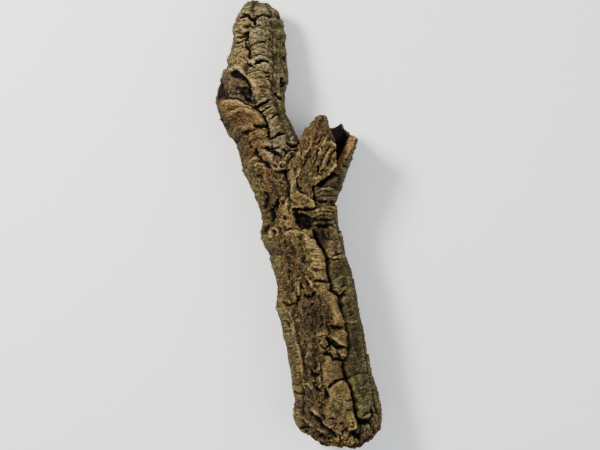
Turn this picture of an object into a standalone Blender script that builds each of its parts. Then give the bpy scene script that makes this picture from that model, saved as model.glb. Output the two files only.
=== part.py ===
"""A forked cork bark tube, lying on its side.

It is the hollow bark of a cork oak limb, stripped whole from the wood: a wide trunk that forks into
a slimmer upper branch and a short, broken side branch.  The bark grew as one wall, so it is split
only at the fork, into three pieces.

Frame: +Y runs along the tube, from its wide end to its narrow end, and +Z is up.  The tube rests on
z = 0, and the origin is under the middle of its bounding box.  Units are metres.
"""

import math

import bmesh
import bpy
from mathutils import Matrix, Vector, noise

MM = 0.001
GAP = 0.3 * MM  # left between neighbouring pieces

# The middle of the tube's bounding box, in the plan that the tables below use.
PLAN_MIDDLE = Vector((11.2, 1.65, 0.0)) * MM

# A station is (along, x, y, z, half width, half height), in millimetres.
TRUNK_AND_UPPER = (
    (-281, 3, -281, 42, 43, 40),
    (-272, 3, -272, 42.5, 48, 44),
    (-258, 4, -258, 43, 50.5, 46),
    (-235, 4, -235, 43.5, 52, 46.5),
    (-190, 3, -190, 45, 50, 46),
    (-130, 3, -130, 48, 49.5, 45),
    (-70, 3, -70, 50, 46.5, 43.5),
    (-20, 3, -20, 51, 47, 44),
    (20, 0, 20, 51, 46.5, 44),
    (55, -7, 55, 50, 43.5, 42),
    (90, -18, 90, 47, 38.5, 39),
    (130, -26, 130, 43, 38.5, 37.5),
    (165, -27, 165, 39.5, 40.5, 38),
    (190, -22, 190, 36, 41, 36),
    (215, -14, 215, 31.3, 37, 33.5),
    (245, -7, 245, 27, 32.5, 30),
    (266, -4, 266, 24.5, 29, 27),
    (276, -3, 276, 23.5, 26, 24.5),
    (283, -2, 283, 23, 21, 20),
)
SIDE_BRANCH = (
    (0, -2, 1, 51, 30, 30),
    (30, 14, 27, 54, 33, 32),
    (60, 29, 52.5, 56, 33.5, 33),
    (100, 50, 87, 58, 33, 32.5),
    (126, 63.5, 109, 59.5, 32.5, 31.5),
    (140, 70.5, 121, 60.5, 30, 29),
)

# How far the broken end of the side branch stands back from 140, all round, as (degrees, millimetres).
# The turn is measured from the top of the limb, and grows towards its right-hand side.
SIDE_BREAK = (
    (-180, 14),
    (-150, 20),
    (-120, 24),
    (-90, 26),
    (-62, 24),
    (-48, 8),
    (-20, 7),
    (-2, 20),
    (22, 30),
    (31, 58),
    (42, 60),
    (52, 28),
    (64, 12),
    (84, 14),
    (120, 12),
    (150, 8),
    (166, 3),
    (180, 14),
)

# Lengthwise fissures between the ridges, as (depth, ((along, degrees), ...)).
TRUNK_FISSURES = (
    (7.5, ((-281, 32), (-245, 20), (-190, 18), (-145, 32), (-105, 31), (-70, 22), (-30, 22), (-2, 12))),
    (5.0, ((-281, 42), (-225, 56), (-175, 70), (-110, 80), (-40, 72))),
    (4.5, ((-281, -50), (-190, -46), (-110, -47), (-60, -54), (-20, -50), (40, -58), (110, -82))),
    (5.5, ((-281, 96), (-200, 106), (-120, 112), (-30, 102), (60, 108), (150, 96), (283, 84))),
    (6.0, ((-281, 138), (-170, 146), (-60, 136), (40, 148), (140, 136), (283, 128))),
    (5.5, ((-281, -92), (-180, -86), (-80, -96), (20, -90), (100, -112), (200, -100), (283, -84))),
    (6.0, ((-281, -136), (-160, -128), (-40, -138), (80, -150), (180, -140), (283, -132))),
    (4.5, ((-281, 178), (-120, 170), (20, 182), (160, 174), (283, 184))),
    (6.0, ((104, 17), (126, 14), (156, 6), (166, -6), (204, -2), (237, -24), (262, -8), (283, -6))),
    (4.0, ((120, 66), (152, 58), (186, 42), (215, 33), (246, 29), (283, 38))),
)
SIDE_FISSURES = (
    (4.0, ((20, -28), (140, -34))),
    (4.0, ((20, 84), (140, 92))),
    (4.5, ((20, 140), (140, 132))),
    (4.5, ((20, -92), (140, -88))),
    (4.5, ((20, -142), (140, -150))),
)
FISSURE_REACH = 7.0  # millimetres from a fissure's line to the shoulder of its ridge

# Hollows and bulges of the trunk and upper branch: (along, degrees, height, reach along, reach around).
TRUNK_SPOTS = (
    (3, 10, -9.0, 9, 15),  # hole under the side branch
    (190, -27, -8.0, 16, 13),  # knot hollow
    (150, -38, 4.0, 18, 24),  # swollen collar below the knot
    (176, -78, 3.0, 14, 14),
    (-60, -12, 1.5, 60, 20),
    (24, 52, -5.0, 5, 14),
)

WALL_AT_WIDE_END = 13.0
WALL_AT_NARROW_END = 10.5
SIDE_WALL = 11.0
LUMP = 2.6  # height of the unevenness in millimetres
LUMP_SIZE = 21.0
CORE_LUMP = 1.3
CORE_OVERRUN = 30.0  # how far a core runs past an open end, so that a cut with it opens that end
CORE_EVEN = 22.0  # the stretch at each end where a core keeps its section
RAGGED_MEAN = 4.5  # how far the trunk's and the upper branch's open ends stand back
RAGGED = 6.0
RAGGED_TURNS = 1.7  # how quickly that set-back changes around the end
TANGENT_STEP = 4.0  # millimetres to each side of a place, over which the limb's direction is read

FORK = Vector((18, 98, 0)) * MM  # the crotch between the two branches, in plan
SIDE_SPLIT_TURN = math.radians(-71.5)  # direction in plan of the cut that frees the side branch
UPPER_SPLIT_TURN = math.radians(14.7)
BETWEEN_TURN = math.radians(84)

OUTER_SEGMENTS = 56
CORE_SEGMENTS = 24
ROW = 13.0  # millimetres between two rows of an outer surface
CORE_ROW = 26.0

BARK_COLOR = (0.165, 0.112, 0.056, 1)
BARK_ROUGHNESS = 0.92


def curve_through(table, at):
    """The other columns of a table, read at a value of its first by a cubic through its rows."""
    at = min(max(at, table[0][0]), table[-1][0])
    i = max(k for k in range(len(table) - 1) if table[k][0] <= at)
    rows = [table[min(max(i + k, 0), len(table) - 1)] for k in (-1, 0, 1, 2)]
    span = rows[2][0] - rows[1][0]
    t = (at - rows[1][0]) / span
    values = []
    for before, low, high, after in list(zip(*rows))[1:]:
        slope_low = (high - before) / (rows[2][0] - rows[0][0]) * span
        slope_high = (after - low) / (rows[3][0] - rows[1][0]) * span
        values.append(
            low
            + t * slope_low
            + t * t * (3 * (high - low) - 2 * slope_low - slope_high)
            + t * t * t * (slope_low + slope_high - 2 * (high - low))
        )
    return values


def straight_through(table, at):
    """The second column of a table, read at a value of its first by straight lines."""
    for (low, a), (high, b) in zip(table, table[1:]):
        if at <= high:
            return a + (b - a) * (at - low) / (high - low)
    return table[-1][1]


def turn_between(a, b):
    """The smallest difference of two angles in degrees."""
    return (a - b + 180) % 360 - 180


def fissure_relief(fissures, along, degrees, radius):
    """How deep the fissures cut at a place on the limb, in millimetres."""
    relief = 0
    for depth, line in fissures:
        if not line[0][0] <= along <= line[-1][0]:
            continue
        aside = abs(turn_between(degrees, curve_through(line, along)[0]))
        aside *= math.radians(1) * radius
        if aside < FISSURE_REACH:
            relief = min(relief, -depth * (1 - (aside / FISSURE_REACH) ** 1.5))
    return relief


def spot_relief(spots, along, degrees, radius):
    """The height of the hollows and bulges at a place on the limb, in millimetres."""
    relief = 0
    for at, turn, height, reach_along, reach_around in spots:
        aside = turn_between(degrees, turn) * math.radians(1) * radius
        away = (along - at) ** 2 / reach_along**2 + aside**2 / reach_around**2
        relief += height * math.exp(-away)
    return relief


def limb_direction(stations, along):
    ahead = curve_through(stations, along + TANGENT_STEP)
    behind = curve_through(stations, along - TANGENT_STEP)
    return (Vector(ahead[:3]) - Vector(behind[:3])).normalized()


def limb_point(stations, along, turn, grow):
    """A point on a limb's section: grow is the height above its even outline, in millimetres."""
    x, y, z, half_width, half_height = curve_through(stations, along)
    tangent = limb_direction(stations, along)
    side = tangent.cross(Vector((0, 0, 1))).normalized()
    up = side.cross(tangent)
    centre = Vector((x, y, z))
    outward = side * (half_width + grow) * math.sin(turn) + up * (half_height + grow) * math.cos(turn)
    return (centre + outward) * MM - PLAN_MIDDLE


def wrapped_grid(name, around, rows, place):
    """A closed skin: a grid wrapped into a tube by place(share along, turn), with both ends filled."""
    skin = bmesh.new()
    bmesh.ops.create_grid(skin, x_segments=around, y_segments=rows, size=0.5)
    for vertex in skin.verts:
        vertex.co = place(vertex.co.y + 0.5, vertex.co.x * math.tau)
    bmesh.ops.remove_doubles(skin, verts=skin.verts, dist=0.001 * MM)
    rims = [edge for edge in skin.edges if edge.is_boundary]
    ends = bmesh.ops.holes_fill(skin, edges=rims, sides=around)
    bmesh.ops.poke(skin, faces=ends["faces"])
    bmesh.ops.triangulate(skin, faces=skin.faces)
    bmesh.ops.recalc_face_normals(skin, faces=skin.faces)
    mesh = bpy.data.meshes.new(name)
    skin.to_mesh(mesh)
    skin.free()
    return bpy.data.objects.new(name, mesh)


def limb_skin(name, stations, fissures, spots, end_set_back):
    """The outer surface of a limb: its even outline with fissures, spots and lumps."""
    start, stop = stations[0][0], stations[-1][0]

    def place(share, turn):
        degrees = math.degrees(turn)
        first = start + end_set_back("start", degrees)
        last = stop - end_set_back("stop", degrees)
        along = first + (last - first) * share
        radius = curve_through(stations, along)[3]
        grow = fissure_relief(fissures, along, degrees, radius)
        grow += spot_relief(spots, along, degrees, radius)
        spot = Vector((along, radius * math.sin(turn), radius * math.cos(turn)))
        grow += LUMP * noise.noise(spot / LUMP_SIZE)
        return limb_point(stations, along, turn, grow)

    return wrapped_grid(name, OUTER_SEGMENTS, round((stop - start) / ROW), place)


def limb_core(name, stations, wall_at_start, wall_at_stop, overrun_at_start):
    """The space that the wood left: it runs past the limb's open ends."""
    start, stop = stations[0][0], stations[-1][0]
    length = overrun_at_start + stop - start + CORE_OVERRUN

    def place(share, turn):
        along = start - overrun_at_start + length * share
        inside = min(max(along, start + CORE_EVEN), stop - CORE_EVEN)
        wall = wall_at_start + (wall_at_stop - wall_at_start) * (inside - start) / (stop - start)
        radius = curve_through(stations, inside)[3] - wall
        spot = Vector((along, radius * math.sin(turn), radius * math.cos(turn)))
        grow = CORE_LUMP * noise.noise(spot / LUMP_SIZE) - wall
        point = limb_point(stations, inside, turn, grow)
        return point + limb_direction(stations, inside) * (along - inside) * MM

    return wrapped_grid(name, CORE_SEGMENTS, round(length / CORE_ROW), place)


def ragged_end(which, degrees):
    """How far the trunk's wide end and the upper branch's narrow end stand back, in millimetres."""
    turn = math.radians(degrees)
    spot = Vector((math.cos(turn), math.sin(turn), 1 if which == "start" else -1))
    return RAGGED_MEAN + RAGGED * noise.noise(spot * RAGGED_TURNS)


def side_break(which, degrees):
    """How far the side branch's broken end stands back, in millimetres. Its start is inside the trunk."""
    return 0 if which == "start" else straight_through(SIDE_BREAK, degrees)


def half_space(name, point, outward_turn, tilt_axis="Z"):
    """A metre cube whose one face passes through a point, with the cube on the side of its outward turn."""
    bpy.ops.mesh.primitive_cube_add(size=1)
    cube = bpy.context.active_object
    cube.name = name
    outward = Matrix.Rotation(outward_turn, 3, tilt_axis) @ Vector((1, 0, 0))
    cube.matrix_world = Matrix.Translation(point + outward * (0.5 + GAP / 2)) @ Matrix.Rotation(
        outward_turn, 4, tilt_axis
    )
    return cube


def boolean(target, cutter, operation):
    """Adds a Boolean modifier that joins the cutter to the target, or cuts the target with it."""
    modifier = target.modifiers.new(cutter.name, "BOOLEAN")
    modifier.object = cutter
    modifier.operation = operation


def as_mesh(source, name):
    """A new object that holds the source's mesh with its modifiers applied."""
    bpy.context.view_layer.update()
    evaluated = source.evaluated_get(bpy.context.evaluated_depsgraph_get())
    mesh = bpy.data.meshes.new_from_object(evaluated)
    mesh.name = name
    return bpy.data.objects.new(name, mesh)


def bark_material():
    """Weathered cork bark."""
    material = bpy.data.materials.new("cork_bark")
    material.use_nodes = True
    shader = material.node_tree.nodes["Principled BSDF"]
    shader.inputs["Base Color"].default_value = BARK_COLOR
    shader.inputs["Roughness"].default_value = BARK_ROUGHNESS
    shader.inputs["Metallic"].default_value = 0
    return material


def collection(name):
    made = bpy.data.collections.new(name)
    bpy.context.scene.collection.children.link(made)
    return made


def keep_as_helper(obj, helpers):
    """Files an object among the cutters and guides, which aren't part of the tube."""
    for owner in list(obj.users_collection):
        owner.objects.unlink(obj)
    helpers.objects.link(obj)
    obj.hide_render = True
    obj.display_type = "WIRE"
    return obj


def build():
    for obj in list(bpy.data.objects):
        bpy.data.objects.remove(obj)
    tube = collection("cork_bark_tube")
    helpers = collection("cutters")

    bark = keep_as_helper(
        limb_skin("bark_skin", TRUNK_AND_UPPER, TRUNK_FISSURES, TRUNK_SPOTS, ragged_end), helpers
    )
    side_skin = keep_as_helper(
        limb_skin("side_skin", SIDE_BRANCH, SIDE_FISSURES, (), side_break), helpers
    )
    trunk_core = keep_as_helper(
        limb_core(
            "trunk_core", TRUNK_AND_UPPER, WALL_AT_WIDE_END, WALL_AT_NARROW_END, CORE_OVERRUN
        ),
        helpers,
    )
    side_core = keep_as_helper(
        limb_core("side_core", SIDE_BRANCH, SIDE_WALL, SIDE_WALL, 0), helpers
    )
    boolean(bark, side_skin, "UNION")
    boolean(bark, trunk_core, "DIFFERENCE")
    boolean(bark, side_core, "DIFFERENCE")
    whole = keep_as_helper(as_mesh(bark, "whole_bark"), helpers)

    fork = FORK - PLAN_MIDDLE
    quarter = math.pi / 2
    above_floor = half_space("above_floor", Vector((0, 0, -GAP / 2)), -quarter, "Y")
    cutters = {
        "trunk": (
            half_space("left_of_side", fork, SIDE_SPLIT_TURN - quarter),
            half_space("below_upper", fork, UPPER_SPLIT_TURN - quarter),
        ),
        "upper_branch": (
            half_space("above_trunk", fork, UPPER_SPLIT_TURN + quarter),
            half_space("left_of_gap", fork, BETWEEN_TURN + quarter),
        ),
        "side_branch": (
            half_space("right_of_trunk", fork, SIDE_SPLIT_TURN + quarter),
            half_space("right_of_gap", fork, BETWEEN_TURN - quarter),
        ),
    }
    material = bark_material()
    keep_as_helper(above_floor, helpers)
    for name, halves in cutters.items():
        piece = bpy.data.objects.new(name, whole.data.copy())
        tube.objects.link(piece)
        for half in halves:
            boolean(piece, keep_as_helper(half, helpers), "INTERSECT")
        boolean(piece, above_floor, "INTERSECT")
        piece.data.materials.clear()
        piece.data.materials.append(material)


build()
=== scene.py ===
"""The looks of the forked cork bark tube.

Each limb is one dense closed skin: an outer face, an inner face and the broken rims between them.
Its relief is worked out from a few kinds of feature on the limb's own coordinates: `along`, in
millimetres, and `turn`, in degrees from the top of the limb towards its right-hand side.  The limbs
are then joined, split at the fork into the frame's three nodes, and given one bark material that
reads the masks stored with the relief.
"""

import math

import bmesh
import bpy
import numpy as np
from mathutils import Matrix, Vector

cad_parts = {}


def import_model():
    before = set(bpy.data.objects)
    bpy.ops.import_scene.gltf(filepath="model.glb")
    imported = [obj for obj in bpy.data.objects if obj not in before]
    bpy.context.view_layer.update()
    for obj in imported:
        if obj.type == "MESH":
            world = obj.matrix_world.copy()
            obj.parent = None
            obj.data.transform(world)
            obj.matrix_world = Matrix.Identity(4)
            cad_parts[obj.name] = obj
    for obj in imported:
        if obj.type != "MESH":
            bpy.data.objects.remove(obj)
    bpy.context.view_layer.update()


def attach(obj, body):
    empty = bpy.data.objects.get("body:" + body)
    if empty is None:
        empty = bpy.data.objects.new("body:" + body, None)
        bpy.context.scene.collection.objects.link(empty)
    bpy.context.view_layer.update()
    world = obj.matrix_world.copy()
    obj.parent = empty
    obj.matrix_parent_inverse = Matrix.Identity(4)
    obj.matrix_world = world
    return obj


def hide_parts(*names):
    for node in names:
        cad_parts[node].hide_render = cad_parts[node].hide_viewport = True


MM = 0.001
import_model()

# ---------------------------------------------------------------- the limbs' shape, as in the frame

# The plan's tables are moved by this much, so that the bounding box is centred on the origin.
PLAN_MIDDLE = np.array((11.2, 1.65, 0.0))

# A station is (along, x, y, z, half width, half height), in millimetres, from the wide end on.
TRUNK_AND_UPPER = (
    (-281, 3, -281, 42, 43, 40), (-272, 3, -272, 42.5, 48, 44), (-258, 4, -258, 43, 50.5, 46),
    (-235, 4, -235, 43.5, 52, 46.5), (-190, 3, -190, 45, 50, 46), (-130, 3, -130, 48, 49.5, 45),
    (-70, 3, -70, 50, 46.5, 43.5), (-20, 3, -20, 51, 47, 44), (20, 0, 20, 51, 46.5, 44),
    (55, -7, 55, 50, 43.5, 42), (90, -18, 90, 47, 38.5, 39), (130, -26, 130, 43, 38.5, 37.5),
    (165, -27, 165, 39.5, 40.5, 38), (190, -22, 190, 36, 41, 36), (215, -14, 215, 31.3, 37, 33.5),
    (245, -7, 245, 27, 32.5, 30), (266, -4, 266, 24.5, 29, 27), (276, -3, 276, 23.5, 26, 24.5),
    (283, -2, 283, 23, 21, 20),
)
SIDE_BRANCH = (
    (0, -2, 1, 51, 30, 30), (30, 14, 27, 54, 33, 32), (60, 29, 52.5, 56, 33.5, 33),
    (100, 50, 87, 58, 33, 32.5), (126, 63.5, 109, 59.5, 32.5, 31.5), (140, 70.5, 121, 60.5, 30, 29),
)
# How far the side branch's broken end stands back from its last station: (degrees, millimetres).
SIDE_BREAK = (
    (-180, 14), (-150, 20), (-120, 24), (-90, 26), (-64, 24), (-54, 6), (-38, 2), (-24, 7),
    (-6, 18), (14, 28), (27, 48), (34, 64), (44, 62), (53, 35), (64, 14), (84, 18), (102, 20),
    (120, 16), (150, 12), (166, 6.5), (180, 14),
)
TRUNK_WALLS = (13.0, 10.5)  # at the wide end and at the narrow end
SIDE_WALLS = (11.0, 11.0)
OVERLAP = 1.5  # how far a core that cuts the other limb reaches into this limb's wall
FORK = np.array((18, 98, 0)) - PLAN_MIDDLE
SIDE_SPLIT_TURN = math.radians(-71.5)
UPPER_SPLIT_TURN = math.radians(14.7)
BETWEEN_TURN = math.radians(84)

# ---------------------------------------------------------------- noise


def hashed(cell, salt):
    """Even random 32-bit numbers for the whole-number cells (..., 3)."""
    h = cell[..., 0] * np.uint32(0x8DA6B343)
    h ^= cell[..., 1] * np.uint32(0xD8163841)
    h ^= cell[..., 2] * np.uint32(0xCB1AB31F)
    h ^= np.uint32((salt * 0x9E3779B9) & 0xFFFFFFFF)
    h ^= h >> 15
    h *= np.uint32(0x2C1B3C6D)
    h ^= h >> 12
    h *= np.uint32(0x297A2D39)
    h ^= h >> 15
    return h


def noise(points, salt=0):
    """Smooth noise from about -1 to 1 at the points (..., 3), with features of size 1."""
    low = np.floor(points)
    part = (points - low).astype(np.float32)
    low = low.astype(np.int64).astype(np.uint32)
    ease = part**3 * (part * (part * 6 - 15) + 10)
    total = np.zeros(points.shape[:-1], np.float32)
    for corner in np.ndindex(2, 2, 2):
        h = hashed(low + np.array(corner, np.uint32), salt)
        share = np.ones_like(total)
        lean = np.zeros_like(total)
        for axis, c in enumerate(corner):
            share *= ease[..., axis] if c else 1 - ease[..., axis]
            slope = ((h >> np.uint32(10 * axis)) & np.uint32(1023)).astype(np.float32) / 511.5 - 1
            lean += slope * (part[..., axis] - c)
        total += share * lean
    return total * 1.5


def layered(points, octaves, salt=0, gain=0.55):
    """Noise summed over octaves, from about -1 to 1."""
    total, height, span = 0, 1.0, 0.0
    for octave in range(octaves):
        total = total + height * noise(points * 2.03**octave, salt + 31 * octave)
        span += height
        height *= gain
    return total / span * 1.4


def ridged(points, octaves, salt=0, gain=0.55):
    """Noise with sharp crests and round valleys, from 0 to 1."""
    total, height, span = 0, 1.0, 0.0
    for octave in range(octaves):
        crest = 1 - np.minimum(np.abs(noise(points * 2.1**octave, salt + 17 * octave)) * 1.6, 1)
        total = total + height * crest
        span += height
        height *= gain
    return total / span


def pits(points, share, salt=0):
    """Round spots in a share of the unit cells: 1 at a spot's middle, 0 from its edge outwards."""
    low = np.floor(points).astype(np.int64)
    found = np.zeros(points.shape[:-1], np.float32)
    for step in np.ndindex(3, 3, 3):
        cell = low + (np.array(step) - 1)
        h = hashed(cell.astype(np.uint32), salt)
        centre = np.stack([(h >> np.uint32(8 * k)) & np.uint32(255) for k in range(3)], -1) / 255.0
        size = 0.25 + 0.35 * ((h >> np.uint32(24)) / 255.0)
        away = np.linalg.norm(points - cell - centre, axis=-1) / size
        chosen = hashed(cell.astype(np.uint32), salt + 1) / 2**32 < share
        found = np.maximum(found, np.where(chosen, np.clip(1 - away, 0, 1), 0))
    return found * found * (3 - 2 * found)


def smooth(low, high, value):
    """0 below low, 1 above high, and an easy slope between."""
    t = np.clip((value - low) / (high - low), 0, 1)
    return t * t * (3 - 2 * t)


def terraced(height, step, share=0.8, ease=0.3):
    """Heights drawn towards whole steps, as layers that have worn away one by one leave them."""
    level = height / step
    low = np.floor(level)
    return height + share * (step * (low + smooth(0.5 - ease, 0.5 + ease, level - low)) - height)


# ---------------------------------------------------------------- limbs


def curve_through(table, at):
    """The other columns of a table, read at an array of values of its first by a cubic."""
    rows = np.array(table, float)
    keys = rows[:, 0]
    at = np.clip(at, keys[0], keys[-1])
    i = np.clip(np.searchsorted(keys, at, "right") - 1, 0, len(keys) - 2)
    before, low, high, after = (rows[np.clip(i + k, 0, len(keys) - 1)] for k in (-1, 0, 1, 2))
    span = (high - low)[..., :1]
    t = (at[..., None] - low[..., :1]) / span
    slope_low = (high - before) / (high - before)[..., :1] * span
    slope_high = (after - low) / (after - low)[..., :1] * span
    value = low + t * slope_low + t**2 * (3 * (high - low) - 2 * slope_low - slope_high)
    value += t**3 * (slope_low + slope_high - 2 * (high - low))
    return value[..., 1:]


def straight_through(table, at):
    """The second column of a table, read at an array of values of its first by straight lines."""
    keys, values = zip(*table)
    return np.interp(at, keys, values)


def unit(vectors):
    return vectors / np.linalg.norm(vectors, axis=-1, keepdims=True)


class Limb:
    """A limb's places: arrays of along and degrees, and the directions on its even outline."""

    def __init__(self, stations, along, degrees):
        self.along, self.degrees = np.broadcast_arrays(along, degrees)
        values = curve_through(stations, self.along)
        ahead = curve_through(stations, self.along + 4)[..., :3]
        behind = curve_through(stations, self.along - 4)[..., :3]
        self.centre = values[..., :3] - PLAN_MIDDLE
        self.width, self.height = values[..., 3], values[..., 4]
        self.ahead = unit(ahead - behind)
        self.side = unit(np.cross(self.ahead, (0, 0, 1)))
        self.up = np.cross(self.side, self.ahead)
        turn = np.radians(self.degrees)
        self.sin, self.cos = np.sin(turn)[..., None], np.cos(turn)[..., None]
        self.straight = np.stack(
            [self.along, self.width * self.sin[..., 0], self.width * self.cos[..., 0]], -1
        )

    def place(self, grow, forward=0.0, around=0.0):
        """Points that stand grow outside the even outline, moved forward and around."""
        grow = np.asarray(grow, float)[..., None]
        out = self.side * (self.width[..., None] + grow) * self.sin
        out += self.up * (self.height[..., None] + grow) * self.cos
        onward = self.side * self.cos - self.up * self.sin
        return (
            self.centre
            + out
            + self.ahead * np.asarray(forward, float)[..., None]
            + onward * np.asarray(around, float)[..., None]
        )


# ---------------------------------------------------------------- features of bark

# A column of plates runs from its own fissure to the next one's: the fissure's line as (along,
# degrees), its depth as (along, millimetres), the plates' cracks as (along, depth), the fissure's
# reach to each side, and how far a crack arches towards the narrow end.
COLUMNS = (
    dict(
        line=((-285, -136), (-160, -128), (-40, -138), (80, -150), (180, -140), (285, -132)),
        depth=((0, 6),),
        reach=3.5, arch=5,
    ),
    dict(
        line=(
            (-285, -92), (-180, -86), (-80, -96), (20, -90), (100, -112), (200, -100), (285, -84),
        ),
        depth=((0, 5),),
        cracks=(
            (-300, 0), (-262, 1.5), (-222, 2.5), (-194, 0.8), (-160, 0.3), (-128, 0.5), (-96, 1.4),
            (-60, 0.4), (-30, 0.8), (-2, 2.4), (26, 1.2), (58, 0.8), (90, 1.5), (120, 1),
            (148, 1.5), (170, 1), (195, 2), (216, 1), (238, 1.6), (258, 1), (300, 0),
        ),
        reach=3.0, arch=4,
    ),
    dict(
        line=(
            (-285, -62), (-220, -56), (-170, -40), (-126, -39), (-107, -47), (-60, -49), (-14, -38),
            (60, -52), (130, -78), (285, -66),
        ),
        depth=((-285, 2), (-235, 1.4), (-120, 0.8), (-80, 0.5), (20, 0.5), (100, 0)),
        cracks=(
            (-300, 0), (84, 1), (92, 1), (99, 1), (108, 1.6), (120, 1), (131, 1), (138, 0.8),
            (148, 1.2), (156, 1.4), (165, 1), (205, 1), (220, 1), (239, 1), (249, 1.5), (256, 1),
            (272, 1), (300, 0),
        ),
        reach=2.6, arch=6,
    ),
    dict(
        line=(
            (-285, 22), (-256, 25), (-243, 20), (-211, 22), (-195, 19), (-178, 16), (-168, 24),
            (-157, 34), (-122, 35), (-95, 33), (-86, 24), (-58, 23), (-44, 26), (-26, 20),
            (-14, 16), (0, 16), (99, 13), (112, 15), (133, 14), (152, 5), (163, -3), (178, -7),
            (197, -15), (211, -11), (224, -17), (237, -21), (248, -16), (262, -6), (285, -3),
        ),
        depth=(
            (-285, 5), (-262, 7.5), (-240, 8), (-225, 6), (-195, 7.5), (-178, 7), (-168, 3),
            (-157, 5), (-140, 8.5), (-60, 9), (-20, 9), (-8, 0), (95, 0), (105, 1.6), (130, 1.6),
            (160, 2.4), (180, 2), (210, 1.8), (235, 1.8), (262, 2), (285, 2),
        ),
        cracks=(
            (-300, 0), (-247, 3), (-225, 0.3), (-197, 2.2), (-167, 0.2), (-129, 0.5), (-88, 1.6),
            (-73, 1), (-62, 0.5), (-48, 2.8), (-28, 0.8), (-7, 3), (20, 2), (96, 1), (105, 1.2),
            (117, 1), (134, 0.8), (143, 0.8), (156, 1), (170, 1), (182, 1.2), (190, 1), (208, 1),
            (219, 1), (243, 1), (254, 1), (270, 1), (300, 0),
        ),
        reach=3.4, arch=6,
    ),
    dict(
        line=(
            (-285, 67), (-230, 62), (-198, 66), (-160, 76), (-120, 81), (-50, 80), (-10, 68),
            (60, 54), (111, 46), (127, 48), (158, 43), (173, 36), (206, 34), (233, 32), (252, 35),
            (285, 39),
        ),
        depth=(
            (-285, 3.5), (-200, 2.5), (-150, 1.2), (-110, 0.3), (-30, 0.3), (100, 0.8), (285, 0.6),
        ),
        cracks=(
            (-300, 0), (-262, 1.2), (-236, 2), (-205, 0.4), (-178, 2), (-150, 0.3), (-118, 0.4),
            (-80, 0.8), (-52, 0.3), (-20, 1), (10, 0.8), (40, 1), (75, 1.5), (100, 1), (118, 0.6),
            (150, 1), (178, 0.8), (205, 1.4), (236, 0.8), (262, 1), (300, 0),
        ),
        reach=3.0, arch=3,
    ),
    dict(
        line=((-285, 96), (-200, 106), (-120, 112), (-30, 102), (60, 108), (150, 96), (285, 84)),
        depth=((0, 5.5),),
        reach=3.2, arch=5,
    ),
    dict(
        line=((-285, 138), (-170, 146), (-60, 136), (40, 148), (140, 136), (285, 128)),
        depth=((0, 6),),
        reach=3.4, arch=4,
    ),
    dict(
        line=((-285, 178), (-120, 170), (20, 182), (160, 174), (285, 184)),
        depth=((0, 4.5),),
        reach=3.0, arch=5,
    ),
)
SIDE_COLUMNS = (
    dict(line=((0, -142), (140, -150)), depth=((0, 4.5),), reach=3.0, arch=4),
    dict(line=((0, -92), (140, -88)), depth=((0, 4.5),), reach=3.0, arch=4),
    dict(line=((0, -28), (140, -34)), depth=((0, 1.0),), reach=3.0, arch=3),
    dict(line=((0, 84), (140, 92)), depth=((0, 4),), reach=3.0, arch=4),
    dict(line=((0, 140), (140, 132)), depth=((0, 4.5),), reach=3.0, arch=4),
)
# The edge between the crumbled face of the trunk and the ridge beside its deep fissure.
RIDGE_EDGE = (
    (-285, -24), (-229, -24), (-212, -11), (-192, -18), (-174, -14), (-152, 7), (-128, 11),
    (-109, 13), (-82, 0), (-56, -5), (-31, -3), (-12, -6), (0, -8),
)
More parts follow.
